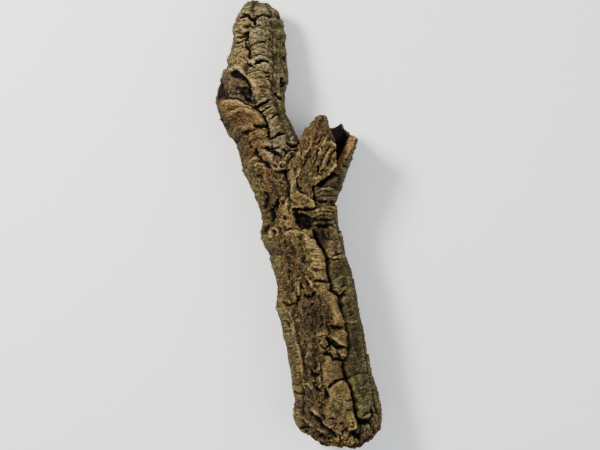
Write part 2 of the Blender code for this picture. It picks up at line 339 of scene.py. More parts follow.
# Features of the upper side, seen from above, in millimetres.
# A crack is (depth, half width, points).
CRACKS = (
    (7, 2.2, ((-34, 268), (-29, 269), (-25, 267), (-22, 263), (-19, 260), (-18, 255))),
    (3, 1.6, ((-19, 259), (-15, 262), (-8, 264), (-2, 262), (3, 261))),
    (2.5, 1.2, ((-35, 254), (-30, 254), (-25, 255), (-22, 251), (-17, 251), (-13, 252))),
    (5, 1.8, ((-39, 247), (-34, 246), (-28, 246))),
    (3, 1.3, ((-29, 246), (-31, 241), (-35, 237), (-35, 230), (-32, 224), (-33, 218), (-33, 213))),
    (3.5, 1.2, ((-47, 244), (-40, 243), (-32, 243))),
    (4, 1.3, ((-49, 238), (-41, 237), (-36, 238))),
    (5, 1.6, ((-30, 228), (-26, 230), (-19, 231), (-14, 231), (-11, 230))),
    (2, 1.1, ((-33, 214), (-28, 216), (-23, 215))),
    (4, 1.3, ((-37, 209), (-33, 204), (-29, 200))),
    (5.5, 1.7, ((-28, 204), (-24, 206), (-20, 207), (-16, 206), (-12, 204))),
    (3, 1.3, ((-20, 192), (-14, 190))),
    (3, 1.3, ((-19, 187), (-14, 187))),
    (3, 1.6, ((6, 232), (7, 231))),
    (2.5, 1.3, ((-5, 232), (-5, 231))),
    (2.5, 1.3, ((1, 225), (2, 222))),
    (2, 1.1, ((-6, 254), (-4, 254))),
    (4, 2.4, ((8, 209), (10, 204))),
    (5, 3, ((0, 182), (0, 173))),
    (3.5, 2, ((12, 226), (13, 222))),
    (3.5, 1.8, ((-8, 164), (-5, 158), (-1, 155))),
    (5, 2, ((-48, 196), (-45, 191), (-41, 184), (-38, 177))),
    (3, 1.3, ((-54, 180), (-47, 178), (-40, 175), (-38, 169))),
    (3, 1.4, ((-52, 176), (-48, 168), (-42, 160), (-39, 155))),
    (5.5, 1.6, ((-43, 129), (-38, 127), (-32, 126), (-28, 124))),
    (3, 1.3, ((-41, 150), (-36, 148), (-32, 143))),
    (5, 1.5, ((-38, 152), (-33, 152), (-27, 155), (-18, 157))),
    (4, 1.3, ((-33, 143), (-27, 145), (-20, 149))),
    (4, 1.6, ((-31, 141), (-29, 136), (-27, 130), (-27, 122), (-28, 114))),
    (3, 1.2, ((-23, 134), (-17, 137), (-10, 140))),
    (5, 1.8, ((-30, 113), (-26, 110), (-22, 109), (-18, 112), (-13, 113), (-8, 114))),
    (5, 1.5, ((-39, 100), (-32, 99), (-26, 97), (-19, 98))),
    (6, 2, ((-30, 95), (-24, 93), (-20, 89), (-18, 84))),
    (6, 1.6, ((-9, 101), (-5, 97), (2, 96), (8, 97))),
    (5, 1.8, ((-13, 93), (-10, 89), (-13, 85))),
    (5, 1.8, ((-6, 83), (-2, 82))),
    (3.5, 1.8, ((-29, 69), (-23, 66), (-16, 66), (-10, 67))),
    (5, 2, ((-20, 75), (-19, 73))),
    (4, 2.4, ((-47, 100), (-46, 92), (-42, 86), (-37, 80), (-34, 74))),
    (3, 2, ((-59, 124), (-54, 122), (-50, 125))),
    (3.5, 2, ((-53, 110), (-51, 104))),
    (5, 2.2, ((-47, 47), (-47, 39), (-51, 33), (-51, 27))),
    (6, 3, ((-47, 23), (-42, 19), (-44, 11))),
    (8, 5, ((-56, 8), (-55, -1), (-48, 3))),
    (4.5, 3, ((-41, 28), (-36, 25), (-33, 34))),
    (4, 1.5, ((-16, 66), (-16, 58), (-18, 55))),
    (3, 1.4, ((-14, 53), (-15, 45), (-18, 36), (-17, 33))),
    (3, 1.6, ((-52, 69), (-47, 64))),
    (4, 2, ((-42, -3), (-41, -7))),
    (8, 3.2, ((46, 56), (39, 51), (31, 46), (23, 43), (13, 41))),
    (6, 2.2, ((13, 40), (12, 34), (12, 28), (11, 20))),
    (4, 2.4, ((14, 24), (20, 20), (25, 21))),
    (3, 1.8, ((27, 18), (33, 19), (39, 17))),
    (4, 1.6, ((5, 3), (12, 0), (22, -1), (34, -3))),
    (1.8, 0.9, ((10, 14), (18, 13), (27, 11), (35, 9))),
    (1.8, 0.9, ((14, 10), (24, 8), (33, 5))),
    (1.6, 0.9, ((12, 5), (22, 4), (33, 1))),
    (1.6, 0.9, ((16, 33), (26, 35), (36, 32))),
    (1.6, 0.9, ((18, 28), (28, 29), (38, 26))),
    (6, 2.2, ((2, -5), (10, -6), (20, -8), (30, -9))),
    (2.6, 1.2, ((27, 87), (26, 76), (21, 70), (12, 60))),
    (2.4, 1.1, ((37, 104), (31, 94), (22, 87))),
    (3.5, 1.4, ((25, 64), (23, 59), (25, 54))),
    (2.4, 1.1, ((44, 87), (32, 74), (27, 66))),
    (2.4, 1.2, ((18, 87), (10, 76), (1, 65))),
    (2.4, 1.2, ((47, 81), (41, 72), (34, 63))),
    (3, 1.4, ((-5, 56), (-6, 46), (-3, 41))),
    (3.5, 1.6, ((-17, 18), (-12, 16), (-4, 16), (4, 15))),
    (3, 1.2, ((-7, 24), (-3, 22))),
    (5, 3, ((3, -11), (6, -19), (7, -28), (10, -35))),
    (5, 2.2, ((13, -38), (13, -45), (17, -49), (24, -52))),
    (4, 1.4, ((-9, -72), (0, -74), (8, -77))),
    (2, 1.6, ((-8, -58), (-3, -60), (5, -61))),
    (4.5, 1.9, ((-47, -93), (-42, -97), (-33, -95), (-29, -88))),
    (4, 1.7, ((-37, -54), (-37, -62))),
    (3, 1.5, ((-25, -72), (-24, -78))),
    (2.5, 1.5, ((-15, -75), (-14, -76))),
    (4, 1.8, ((-21, -89), (-15, -92), (-9, -88))),
    (4.5, 2.4, ((19, -93), (21, -100), (27, -92))),
    (4, 1.8, ((-49, -114), (-47, -122))),
    (5, 2, ((3, -131), (8, -134), (15, -136))),
    (8, 2.1, ((-5, -144), (-3, -149), (1, -153), (4, -158), (12, -160))),
    (5, 1.3, ((-9, -157), (-5, -154), (0, -153))),
    (6, 1.8, ((-12, -163), (-6, -165), (-3, -171), (3, -172), (9, -177))),
    (4, 1.3, ((4, -158), (3, -164), (6, -170))),
    (3, 1.1, ((-14, -152), (-10, -157), (-12, -163))),
    (5.5, 1.8, ((-14, -204), (-8, -200), (-2, -198), (5, -198))),
    (4.5, 3, ((-32, -181), (-30, -186), (-24, -186))),
    (4, 1.8, ((-31, -196), (-30, -204), (-25, -207))),
    (4, 2, ((-19, -204), (-18, -212), (-22, -218))),
    (4, 1.8, ((-57, -204), (-52, -207), (-47, -208))),
    (2.5, 1.3, ((2, -224), (8, -225), (11, -222))),
    (2.5, 1.3, ((0, -238), (6, -237), (8, -238))),
    (3.5, 1.4, ((-9, -250), (-8, -251))),
    (3.5, 1.4, ((5, -253), (6, -254))),
    (6, 3.4, ((13, -251), (20, -256), (28, -256))),
    (6, 3.2, ((4, -264), (8, -269), (11, -276))),
    (5, 2.6, ((-41, -232), (-35, -241), (-29, -249), (-23, -256), (-17, -265))),
    (5, 2.4, ((-39, -262), (-33, -263), (-28, -268))),
    (5, 2.4, ((-56, -251), (-48, -249))),
    (3, 1.3, ((-6, -272), (-2, -268), (1, -270))),
    (4.5, 1.8, ((34, -239), (33, -249), (29, -256), (32, -272))),
    (3, 1.5, ((-27, -233), (-26, -241))),
    (3, 1.5, ((-20, -242), (-13, -244))),
)
# The edge of the long plate beside the deep fissure, from its low end up and over to the left.
PLATE_EDGE = (
    (18, -133), (19, -122), (19, -112), (17, -101), (15, -93), (10, -86), (8, -77), (8, -68),
    (9, -57), (11, -47), (10, -38), (7, -30), (2, -23), (-4, -16), (-9, -11), (-16, -7), (-24, -5),
    (-32, -8),
)
# The edge of a raised layer, with the layer on its left: (height, reach of the rise, points).
EDGES = (
    (2.6, 8, PLATE_EDGE),
    (2.5, 5, ((21, -159), (21, -151), (18, -144), (15, -137))),
    (2.5, 5, ((-1, -142), (4, -150), (10, -157), (21, -161))),
    (2.2, 4, ((-1, -161), (4, -166), (11, -171), (19, -168))),
    (2.2, 6, ((5, -200), (-2, -199), (-9, -202), (-15, -208))),
    (2, 5, ((9, -235), (9, -227), (9, -221), (9, -212), (8, -205), (5, -200))),
    (2.5, 6, ((1, -262), (8, -260), (10, -252), (8, -244), (6, -238))),
    (1.6, 3, ((-41, 151), (-29, 155), (-16, 157))),
    (2.2, 5, ((1, -18), (7, -25), (10, -36), (10, -47))),
    (1.8, 5, ((-30, 129), (-33, 136), (-39, 145), (-48, 152), (-56, 154), (-67, 151))),
    (2.6, 8, ((-28, 125), (-29, 134), (-32, 142), (-37, 148), (-44, 153), (-49, 158), (-55, 163),
        (-64, 167), (-72, 166))),
    (2.2, 5, ((-20, 254), (-21, 260), (-26, 264), (-31, 265), (-36, 266))),
    (2.4, 5, ((-9, 199), (-13, 202), (-19, 205), (-25, 202), (-28, 197))),
    (1.5, 5, ((-10, 228), (-17, 228), (-25, 227), (-29, 225))),
    (3, 6, ((14, 42), (23, 46), (33, 49), (38, 54), (43, 60), (49, 68), (53, 76), (52, 83),
        (48, 90), (46, 97))),
    (3, 6, ((-19, 21), (-7, 19), (2, 16), (9, 17), (9, 23), (4, 29), (-4, 36), (-9, 42))),
    (0.6, 5, ((23, 117), (15, 107), (10, 97), (4, 87), (-4, 78), (-9, 67), (-14, 55), (-16, 43),
        (-18, 35))),
    (2, 5, ((41, 33), (32, 38), (23, 38), (16, 36))),
    (2.5, 4, ((38, 12), (23, 14), (11, 14), (6, 11))),
    (2, 2.5, ((-20, 150), (-26, 150), (-32, 146))),
    (1.8, 6, ((-10, 138), (-17, 135), (-23, 132), (-25, 126))),
    (1.6, 4, ((-8, 112), (-15, 110), (-20, 108), (-28, 108))),
    (1.4, 3, ((11, -87), (17, -90), (23, -90), (30, -88))),
    (1.5, 4, ((-31, -96), (-28, -86), (-26, -75), (-23, -68))),
    (1.8, 5, ((-18, -140), (-10, -138), (-3, -140))),
    (1.6, 3, ((-19, -159), (-11, -159), (-3, -157))),
    (1.8, 5, ((-26, -207), (-22, -199), (-22, -184), (-20, -171))),
    (1.6, 4, ((-56, -234), (-50, -239), (-44, -247), (-36, -254), (-28, -261))),
    (1.6, 4, ((-31, -244), (-24, -250), (-17, -257), (-9, -265), (-1, -271))),
)
# A raised cord of bark: (height, half width, points).
RIDGES = (
    (1.2, 0.8, ((-42, -90), (-43, -105), (-42, -121), (-44, -131))),
    (1.5, 0.8, ((-44, -139), (-42, -153), (-42, -170), (-44, -190), (-45, -208))),
    (1.6, 0.9, ((-11, -19), (-5, -21), (2, -25))),
    (1.6, 0.9, ((-8, -24), (-3, -26), (3, -31))),
    (1.2, 0.7, ((-6, -28), (0, -30), (6, -33))),
    (1.6, 0.9, ((-8, -30), (0, -33), (7, -36))),
    (1.2, 0.7, ((-4, -36), (2, -37), (8, -39))),
    (1.6, 0.9, ((-5, -39), (2, -40), (9, -43))),
    (1.2, 0.7, ((-3, -43), (3, -44), (9, -46))),
    (1.6, 0.9, ((-5, -45), (2, -47), (9, -49))),
    (1.6, 0.9, ((-4, -50), (1, -52), (7, -55))),
    (1.2, 0.7, ((-4, -55), (1, -57), (6, -60))),
    (1.4, 1, ((-14, -53), (-7, -59))),
    (1.5, 1.3, ((-42, -181), (-43, -173))),
    (1.2, 1.3, ((-56, 177), (-54, 173))),
    (1.3, 2.4, ((-47, 203), (-42, 196), (-38, 188), (-35, 181), (-31, 177))),
    (1.4, 1.2, ((-61, 206), (-53, 207), (-47, 204))),
    (1.5, 0.9, ((-33, 145), (-26, 150), (-17, 150))),
    (1.5, 0.9, ((-31, 141), (-25, 146), (-16, 147))),
    (1.6, 1, ((-46, 241), (-40, 240), (-34, 240))),
    (1.6, 1, ((-46, 247), (-40, 246), (-34, 248), (-29, 248))),
    (1.8, 1.3, ((-56, 88), (-50, 90), (-42, 88), (-36, 83))),
    (1.4, 1.2, ((-20, 33), (-23, 27), (-23, 21))),
    (2.2, 2.5, ((-35, 210), (-31, 207), (-28, 203))),
    (2, 2.5, ((-37, 96), (-33, 92), (-30, 83), (-27, 77), (-26, 70))),
    (1.4, 1.1, ((-14, 83), (-9, 87), (-4, 89), (2, 84))),
    (1.6, 1.1, ((-24, 75), (-22, 78), (-17, 78), (-15, 74), (-17, 70), (-22, 71), (-24, 75))),
    (1.6, 1.3, ((-45, -9), (-45, -3), (-41, 0), (-38, -4), (-40, -9))),
    (1.4, 1.1, ((-53, 81), (-47, 83), (-40, 81), (-35, 77))),
    (1.3, 1.1, ((-53, 76), (-46, 78), (-39, 75))),
    (1.4, 1.1, ((-34, 37), (-27, 35), (-18, 33))),
    (1.5, 1.2, ((-35, 103), (-29, 103), (-20, 99))),
    (1, 0.9, ((23, -129), (29, -132), (35, -132))),
    (1.5, 1.3, ((-9, 66), (-10, 54), (-12, 45))),
    (1.6, 1.4, ((12, 52), (17, 52), (24, 52))),
    (2, 1.6, ((-14, -69), (-12, -74), (-10, -81), (-7, -88))),
    (2, 2.2, ((-38, -229), (-32, -234))),
    (1.4, 1, ((-35, -163), (-31, -157), (-28, -161))),
    (1.5, 1, ((-44, -195), (-38, -196), (-35, -202))),
    (1.5, 1.2, ((32, 84), (25, 76), (19, 68), (8, 56))),
    (1.5, 1.2, ((41, 97), (31, 85))),
    (1.4, 1.2, ((24, 98), (16, 87), (8, 79))),
    (1.6, 1.2, ((6, 72), (-3, 61), (-9, 49))),
    (1.4, 1.2, ((41, 80), (34, 71), (29, 62))),
)
# Where the bark is painted another colour, by mask: (strength, softness of the outline, corners).
# Most areas are the bark's own colours; the painted light and shade among them are named by mask.
AREAS = {
    # Golden bark; the areas on the right-hand side and at the wide end are painted light, where the
    # bark turns away from the lamps.
    "gold": (
        (0.7, 12, ((-33, -2), (-16, -5), (-4, -14), (7, -26), (12, -43), (11, -61), (-8, -58),
            (-11, -40), (-14, -24), (-27, -16), (-36, -13))),
        (0.6, 6, ((-28, 34), (-13, 34), (-22, -3), (-35, -2))),
        (0.6, 4, ((-13, 42), (-4, 37), (5, 29), (9, 21), (7, 16), (-17, 19))),
        (0.5, 6, ((-52, 216), (-30, 214), (-24, 246), (-44, 250))),
        (0.6, 6, ((-60, 130), (-40, 132), (-27, 120), (-33, 104), (-54, 108))),
        (0.5, 5, ((35, -150), (48, -150), (54, -275), (38, -275))),
        (0.9, 4, ((-40, -266), (16, -266), (10, -290), (-36, -290))),
        (0.8, 8, ((-78, 175), (-64, 170), (-51, 158), (-56, 148), (-73, 151), (-80, 164))),
        (0.8, 8, ((-55, 163), (-42, 150), (-31, 142), (-34, 136), (-50, 148))),
        (0.7, 3, ((-36, 266), (-23, 263), (-20, 254), (-29, 254), (-38, 255))),
        (0.6, 5, ((-54, 222), (-37, 218), (-34, 204), (-48, 202), (-58, 207))),
        (0.6, 5, ((-48, 206), (-38, 200), (-28, 180), (-26, 164), (-34, 164), (-40, 178),
            (-46, 190))),
        (0.5, 6, ((32, 84), (48, 83), (51, 74), (39, 57), (29, 62))),
        (0.4, 4, ((-4, -242), (8, -242), (11, -256), (1, -262), (-10, -254))),
        (0.5, 4, ((5, -105), (16, -105), (19, -124), (14, -132), (3, -126))),
        (0.7, 5, ((-50, 144), (-37, 142), (-30, 130), (-47, 132))),
        (0.6, 5, ((-58, 90), (-46, 93), (-34, 84), (-36, 70), (-52, 72))),
        (0.6, 5, ((27, -14), (50, -16), (54, -52), (18, -50), (24, -30))),
        (0.6, 8, ((-34, 195), (-12, 200), (-6, 165), (-30, 165))),
        (0.35, 8, ((-30, 150), (-6, 160), (8, 140), (0, 118), (-24, 118))),
        (0.4, 8, ((10, 98), (24, 118), (40, 108), (42, 92), (20, 86))),
        (0.5, 4, ((10, 18), (38, 12), (38, 2), (12, 4))),
    ),
    # Darker bark; the strong areas by the knot, the cavities, the hole and the slab's lower edge
    # are painted shade.
    "dark": (
        (0.2, 4, ((-13, 42), (-4, 37), (5, 29), (9, 21), (7, 16), (-17, 19))),
        (0.2, 5, ((12, -150), (30, -150), (32, -235), (10, -230))),
        (0.4, 6, ((-64, 0), (-46, -2), (-42, -32), (-58, -32))),
        (0.2, 8, ((-34, 0), (-14, -4), (-14, -28), (-32, -28))),
        (0.2, 8, ((-36, -150), (-16, -152), (-20, -250), (-40, -246))),
        (0.25, 8, ((-24, -92), (2, -95), (4, -138), (-20, -140))),
        (0.9, 3, ((-50, 198), (-45, 196), (-38, 180), (-42, 179))),
        (0.6, 4, ((-68, 202), (-60, 204), (-59, 190), (-68, 186))),
        (0.62, 6, ((-72, 196), (-48, 196), (-38, 176), (-40, 158), (-56, 164), (-72, 168))),
        (0.2, 8, ((-76, 108), (-52, 108), (-44, 76), (-62, 72))),
        (0.35, 4, ((12, -52), (56, -58), (58, -72), (14, -68))),
        (0.25, 4, ((20, -93), (60, -100), (62, -126), (26, -124))),
        (0.35, 4, ((28, -130), (62, -134), (62, -162), (32, -158))),
        (1, 5, ((-90, 166), (-88, 198), (-68, 200), (-61, 190), (-65, 167))),
        (0.8, 6, ((-94, 172), (-76, 169), (-72, 150), (-66, 134), (-86, 128))),
        (0.4, 6, ((-80, 150), (-64, 140), (-56, 118), (-72, 115), (-84, 130))),
        (0.9, 4, ((-66, 14), (-53, 12), (-51, -4), (-64, -10))),
        (0.3, 8, ((-78, 128), (-50, 124), (-46, 100), (-52, 70), (-66, 60), (-76, 90))),
        (0.8, 5, ((-86, 196), (-74, 194), (-72, 165), (-76, 145), (-86, 145))),
        (0.25, 6, ((-54, -240), (-32, -252), (-25, -269), (-40, -268), (-54, -256))),
        (0.95, 5, ((-78, 197), (-64, 192), (-66, 170), (-82, 168))),
        (0.65, 4, ((-52, 181), (-39, 177), (-39, 160), (-49, 160), (-52, 170))),
        (0.4, 8, ((-74, 151), (-55, 147), (-56, 134), (-74, 136))),
        (0.3, 8, ((-54, 0), (-30, -4), (-28, -34), (-52, -30))),
        (0.4, 8, ((5, -128), (30, -133), (36, -170), (20, -195), (-7, -190), (-4, -160))),
        (1, 3, ((-61, 203), (-53, 204), (-47, 200), (-45, 193), (-55, 192), (-61, 197))),
        (0.7, 6, ((-49, 47), (-31, 40), (-32, 21), (-42, 1), (-59, 1), (-54, 26))),
        (0.5, 8, ((-27, -100), (6, -106), (0, -135), (-31, -129))),
        (0.85, 5, ((1, -4), (15, -9), (20, -18), (17, -32), (12, -37), (5, -21))),
        (0.3, 4, ((4, 6), (22, 4), (25, -8), (24, -24), (14, -26))),
        (0.7, 4, ((13, 41), (14, 25), (40, 20), (40, 13), (10, 18))),
        (0.4, 5, ((-48, -218), (-40, -226), (-23, -256), (-13, -271), (-39, -275), (-48, -256))),
        (0.35, 4, ((10, -247), (30, -252), (28, -265), (22, -259), (13, -266), (2, -282),
            (0, -266))),
        (0.5, 4, ((-35, -174), (-20, -176), (-23, -193), (-37, -191))),
        (0.8, 3, ((13, 46), (45, 57), (49, 46), (44, 32), (16, 37))),
    ),
    "red": (
        (0.4, 6, ((-70, 134), (-44, 132), (-38, 112), (-60, 104))),
        (0.7, 8, ((-76, 149), (-54, 141), (-49, 128), (-63, 123), (-74, 135))),
        (0.5, 6, ((-70, 196), (-46, 194), (-38, 178), (-42, 160), (-60, 164), (-72, 170))),
        (0.45, 8, ((-50, 100), (-24, 98), (-22, 64), (-46, 64))),
        (0.3, 8, ((-28, 34), (-6, 30), (-8, -2), (-30, 0))),
        (0.7, 8, ((-33, 90), (-18, 81), (-19, 62), (-33, 69))),
        (0.7, 8, ((-74, 128), (-48, 126), (-38, 112), (-45, 92), (-60, 88), (-72, 108))),
        (0.5, 10, ((-80, 172), (-62, 168), (-40, 152), (-30, 128), (-60, 126), (-78, 145))),
        (0.6, 8, ((7, 98), (25, 110), (34, 100), (24, 76), (8, 66))),
    ),
    # Grey-white bark; the area just above the fork and the one on the right-hand side are painted
    # light.
    "pale": (
        (0.5, 8, ((-34, 195), (-12, 200), (-6, 165), (-30, 165))),
        (0.8, 6, ((-10, 124), (4, 124), (8, 104), (2, 96), (-10, 100))),
        (1, 5, ((26, -22), (52, -24), (54, -52), (18, -50), (24, -30))),
        (1, 4, ((-38, 108), (-16, 102), (7, 91), (-1, 78), (-21, 78), (-33, 93))),
        (0.7, 3, ((-25, 81), (-13, 79), (-14, 68), (-26, 70))),
    ),
    "green": (
        (0.7, 6, ((-49, 148), (-35, 145), (-27, 129), (-34, 125), (-48, 130))),
        (0.8, 4, ((-56, 191), (-49, 190), (-44, 181), (-54, 181))),
        (0.3, 8, ((-11, -193), (7, -203), (9, -231), (2, -255), (-14, -239), (-18, -215))),
        (0.2, 4, ((-18, -172), (3, -176), (3, -193), (-12, -200), (-21, -194))),
        (0.3, 4, ((-12, -206), (4, -200), (10, -215), (9, -235), (-8, -242), (-21, -234),
            (-19, -217))),
        (0.35, 6, ((-62, -203), (-47, -200), (-47, -225), (-52, -252), (-66, -245))),
        (0.6, 6, ((-10, 251), (11, 273), (23, 242), (15, 185), (1, 155), (-12, 162), (-6, 207),
            (-11, 233))),
        (0.8, 5, ((13, -45), (40, -51), (41, -87), (42, -120), (41, -164), (50, -199), (46, -262),
            (6, -249), (15, -176), (18, -133), (21, -96), (10, -75))),
        (0.8, 5, ((-63, -4), (-49, -7), (-44, -42), (-51, -89), (-43, -115), (-39, -147),
            (-48, -196), (-60, -203), (-61, -126), (-59, -39))),
        (0.6, 6, ((-72, 91), (-55, 86), (-49, 50), (-55, 20), (-63, 34), (-69, 67))),
    ),
    # Lighter olive tan; most of these areas are painted light where the bark lies in shade: on the
    # right-hand side, below the slab, above the fork and at the wide end.
    "upper": (
        (0.5, 4, ((14, -72), (58, -76), (60, -92), (18, -88))),
        (0.4, 4, ((28, -164), (60, -168), (60, -192), (26, -188))),
        (1, 10, ((-34, 125), (5, 125), (14, 100), (0, 84), (-20, 88), (-34, 100))),
        (0.5, 6, ((14, 38), (40, 40), (52, 20), (45, -2), (20, 2), (14, 16))),
        (1, 5, ((27, 2), (48, 0), (54, -52), (18, -50), (24, -30))),
        (1, 10, ((28, -150), (52, -150), (56, -290), (-34, -290), (-44, -262), (8, -262),
            (28, -240))),
    ),
    "mauve": (
        (0.5, 16, ((-34, -91), (-13, -90), (-5, -109), (-13, -139), (-33, -144), (-37, -122))),
        (0.5, 10, ((-39, -156), (-26, -155), (-31, -192), (-40, -216), (-47, -205))),
        (0.6, 8, ((-54, -212), (-34, -212), (-26, -236), (-8, -262), (-34, -272), (-54, -250))),
    ),
}
# How far the bark's outline stands out on the left and on the right: (along, millimetres).
LEFT_TRIM = (
    (-285, 0), (-262, -1), (-250, 3), (-228, 3), (-215, 0), (-150, -2), (-110, 0), (-95, 3),
    (-85, 0), (-70, -3), (-44, 0), (-30, -1), (-15, 3), (-3, 4), (7, 5), (14, 1), (22, -3),
    (45, -4), (80, -2), (92, -1), (105, -4), (120, -6), (130, -1), (145, 0), (150, 2), (163, 4),
    (178, 3), (186, -1), (195, -5), (202, -6.5), (210, -3), (218, -5), (236, -6), (250, -2),
    (262, -4), (285, -4),
)
RIGHT_TRIM = (
    (-285, 0), (-240, -2), (-160, -3), (-140, -3), (-110, -1), (-95, 0), (-70, 0), (-50, -2),
    (-38, -4), (-12, -5), (0, -3), (20, 0), (120, -1), (135, -4), (145, -3), (160, -2), (180, -1),
    (192, 2), (206, 2.5), (215, 0), (224, 1.5), (238, 1), (246, 3), (252, 0.5), (258, 2.5),
    (264, -0.5), (271, 2), (278, 0), (285, 0),
)
# How far the ends stand back from the first and the last station: (degrees, millimetres).
WIDE_END = (
    (-180, 10), (-150, 12), (-120, 18), (-90, 23), (-75, 20), (-60, 15), (-45, 10), (-30, 8),
    (-15, 6), (0, 4), (12, 1), (28, -1), (42, 4), (65, 5), (78, 12), (90, 20), (110, 16), (135, 12),
    (180, 10),
)
NARROW_END = (
    (-180, 5), (-120, 6), (-90, 9), (-60, 6), (-44, 2), (-30, -2), (-6, -3), (9, 0), (16, 2),
    (24, 1), (38, 0), (49, 1), (67, 4), (90, 9), (120, 7), (150, 6), (180, 5),
)
# Deep cavities: (depth, softness of the outline, corners).
CAVITIES = (
    (9, 3, ((-16, 14), (-5, 12), (5, 6), (7, -1), (1, -9), (-10, -7), (-15, 0))),
    (7, 2.5, ((-60, 202), (-54, 203), (-49, 200), (-46, 195), (-48, 191), (-55, 193), (-60, 197))),
    (3, 4, ((-52, 180), (-44, 178), (-39, 174), (-39, 164), (-43, 158), (-48, 163), (-51, 172))),
    (5, 4, ((-82, 190), (-72, 195), (-68, 187), (-70, 173), (-84, 169))),
    (2, 6, ((9, -12), (19, -13), (20, -25), (18, -36), (14, -38), (11, -25))),
)
# The outlines of the pale slab at the fork, the swelling below the knot, the knot's hollow, the
# torn bark under the slab, the rough bark in the crotch, and the browner bark by the swelling.
SLAB = (
    (-12, 74), (7, 92), (60, 90), (45, 57), (36, 46), (13, 38), (9, 17), (-7, 21), (-17, 33),
    (-15, 55),
)
SWOLLEN = (
    (-75, 167), (-64, 167), (-51, 158), (-37, 148), (-30, 136), (-33, 126), (-54, 128), (-66, 131),
    (-76, 144),
)
KNOT = ((-72, 194), (-48, 196), (-38, 176), (-40, 158), (-56, 164), (-76, 168))
TORN = ((4, 8), (24, 6), (28, -8), (26, -28), (14, -26))
CROTCH = ((-40, 104), (-24, 104), (-6, 98), (8, 96), (4, 84), (-12, 70), (-28, 74), (-42, 90))
BROWN = ((-80, 150), (-44, 140), (-26, 124), (-30, 104), (-60, 98), (-84, 122))
SLAB_ACROSS, SLAB_UP = 0.515, 0.857  # the slab's grain as a direction in the plan
# How far apart fine layers stand, in millimetres.
PLATE_LAYERS, SWELLING_LAYERS, EDGE_LAYERS, SLAB_LAYERS, RIDGE_BANDS = 3.8, 3.7, 3.1, 3.4, 2.7


def to_line(points, x, y):
    """How far the places (x, y) are from a line of points, on which side, and how far along it.

    The side is positive on the left of the line.  The last value is the line's length.
    """
    nearest = np.full(x.shape, np.inf)
    side, place = np.zeros(x.shape), np.zeros(x.shape)
    length = 0.0
    for (ax, ay), (bx, by) in zip(points, points[1:]):
        dx, dy = bx - ax, by - ay
        span = math.hypot(dx, dy) or 1e-9
        t = np.clip(((x - ax) * dx + (y - ay) * dy) / span**2, 0, 1)
        away = np.hypot(x - ax - t * dx, y - ay - t * dy)
        closer = away < nearest
        nearest = np.where(closer, away, nearest)
        side = np.where(closer, np.sign(dx * (y - ay) - dy * (x - ax)), side)
        place = np.where(closer, length + t * span, place)
        length += span
    return nearest, side, place, length


def inside(corners, x, y, soft):
    """1 inside a closed outline, 0 outside it, with a slope as wide as soft around the outline."""
    odd = np.zeros(x.shape, bool)
    closed = corners + corners[:1]
    for (ax, ay), (bx, by) in zip(closed, closed[1:]):
        crosses = (ay > y) != (by > y)
        odd ^= crosses & (x < (bx - ax) * (y - ay) / ((by - ay) or 1e-9) + ax)
    away, _, _, _ = to_line(closed, x, y)
    return smooth(-soft / 2, soft / 2, np.where(odd, away, -away))


def blurred(values, size):
    """Values averaged over a window of 2 size + 1 cells each way; they wrap around the limb."""
    for axis in (0, 1):
        total = values.copy()
        for step in range(1, size + 1):
            total += np.roll(values, step, axis) + np.roll(values, -step, axis)
        values = total / (2 * size + 1)
    return values


class Relief:
    """The bark sculpted on a limb: outwards, forward and around, in millimetres, and its masks."""

    def __init__(self, limb, salt):
        self.limb, self.salt = limb, salt
        self.spot = limb.straight
        self.point = limb.place(0)
        self.x, self.y = self.point[..., 0], self.point[..., 1]
        self.upper_side = smooth(-0.1, 0.15, limb.cos[..., 0])
        self.below = smooth(85, 118, np.abs(limb.degrees))
        shape = limb.along.shape
        self.grow, self.forward, self.around = np.zeros(shape), np.zeros(shape), np.zeros(shape)
        # Painted shade in cracks, holes and under edges, and painted highlights on lit edges, from
        # 0 to 1.
        self.crease, self.glint = np.zeros(shape), np.zeros(shape)
        self.masks = {}

    def noise(self, size, salt, octaves=1):
        """Noise over the limb with features of a size, or of (size along, size around)."""
        along, around = size if isinstance(size, tuple) else (size, size)
        spot = self.spot / (along, around, around)
        if octaves == 1:
            return noise(spot, self.salt + salt)
        return layered(spot, octaves, self.salt + salt)

    def between(self, low, high, centre, gain, size, salt):
        """Noise around a centre, kept between two values: how strong a feature is here."""
        return np.clip(centre + gain * self.noise(size, salt), low, high)

    def area(self, corners, soft):
        """1 on the upper side within an outline seen from above, with a slope as wide as soft."""
        return inside(corners, self.x, self.y, soft) * self.upper_side

    # Paints shade into the colour where amount is 1.
    def paint_shade(self, amount, here=...):
        self.crease[here] = np.maximum(self.crease[here], amount)

    # Paints a highlight into the colour where amount is 1.
    def paint_highlight(self, amount, here=...):
        self.glint[here] = np.maximum(self.glint[here], amount)

    def cover(self, mask, amount):
        self.masks[mask] = np.maximum(self.masks.get(mask, 0), amount)

    def cut(self, depth, amount):
        """Cuts a crack of a depth where amount is 1, and paints shade into it."""
        self.grow -= depth * amount
        self.paint_shade(np.clip(depth / 3.5, 0, 1) * amount)

    def line(self, amount):
        """Paints a fine line of shade, broken here and there."""
        self.paint_shade(amount * self.between(0, 1, 0.5, 1.6, 4.5, 47))

    def warp(self):
        """Places on the limb moved a little, so that lines on it wander."""
        along = self.limb.along + 2.0 * self.noise(19, 1) + 0.9 * self.noise(6, 2)
        shift = 1.8 * self.noise(17, 3) + 0.9 * self.noise(5.5, 4)
        along = along + self.below * (9 * self.noise(42, 61) + 3 * self.noise(13, 62))
        shift = shift + self.below * (10 * self.noise((48, 30), 63) + 4 * self.noise((15, 12), 64))
        return along, self.limb.degrees + np.degrees(shift / self.limb.width)


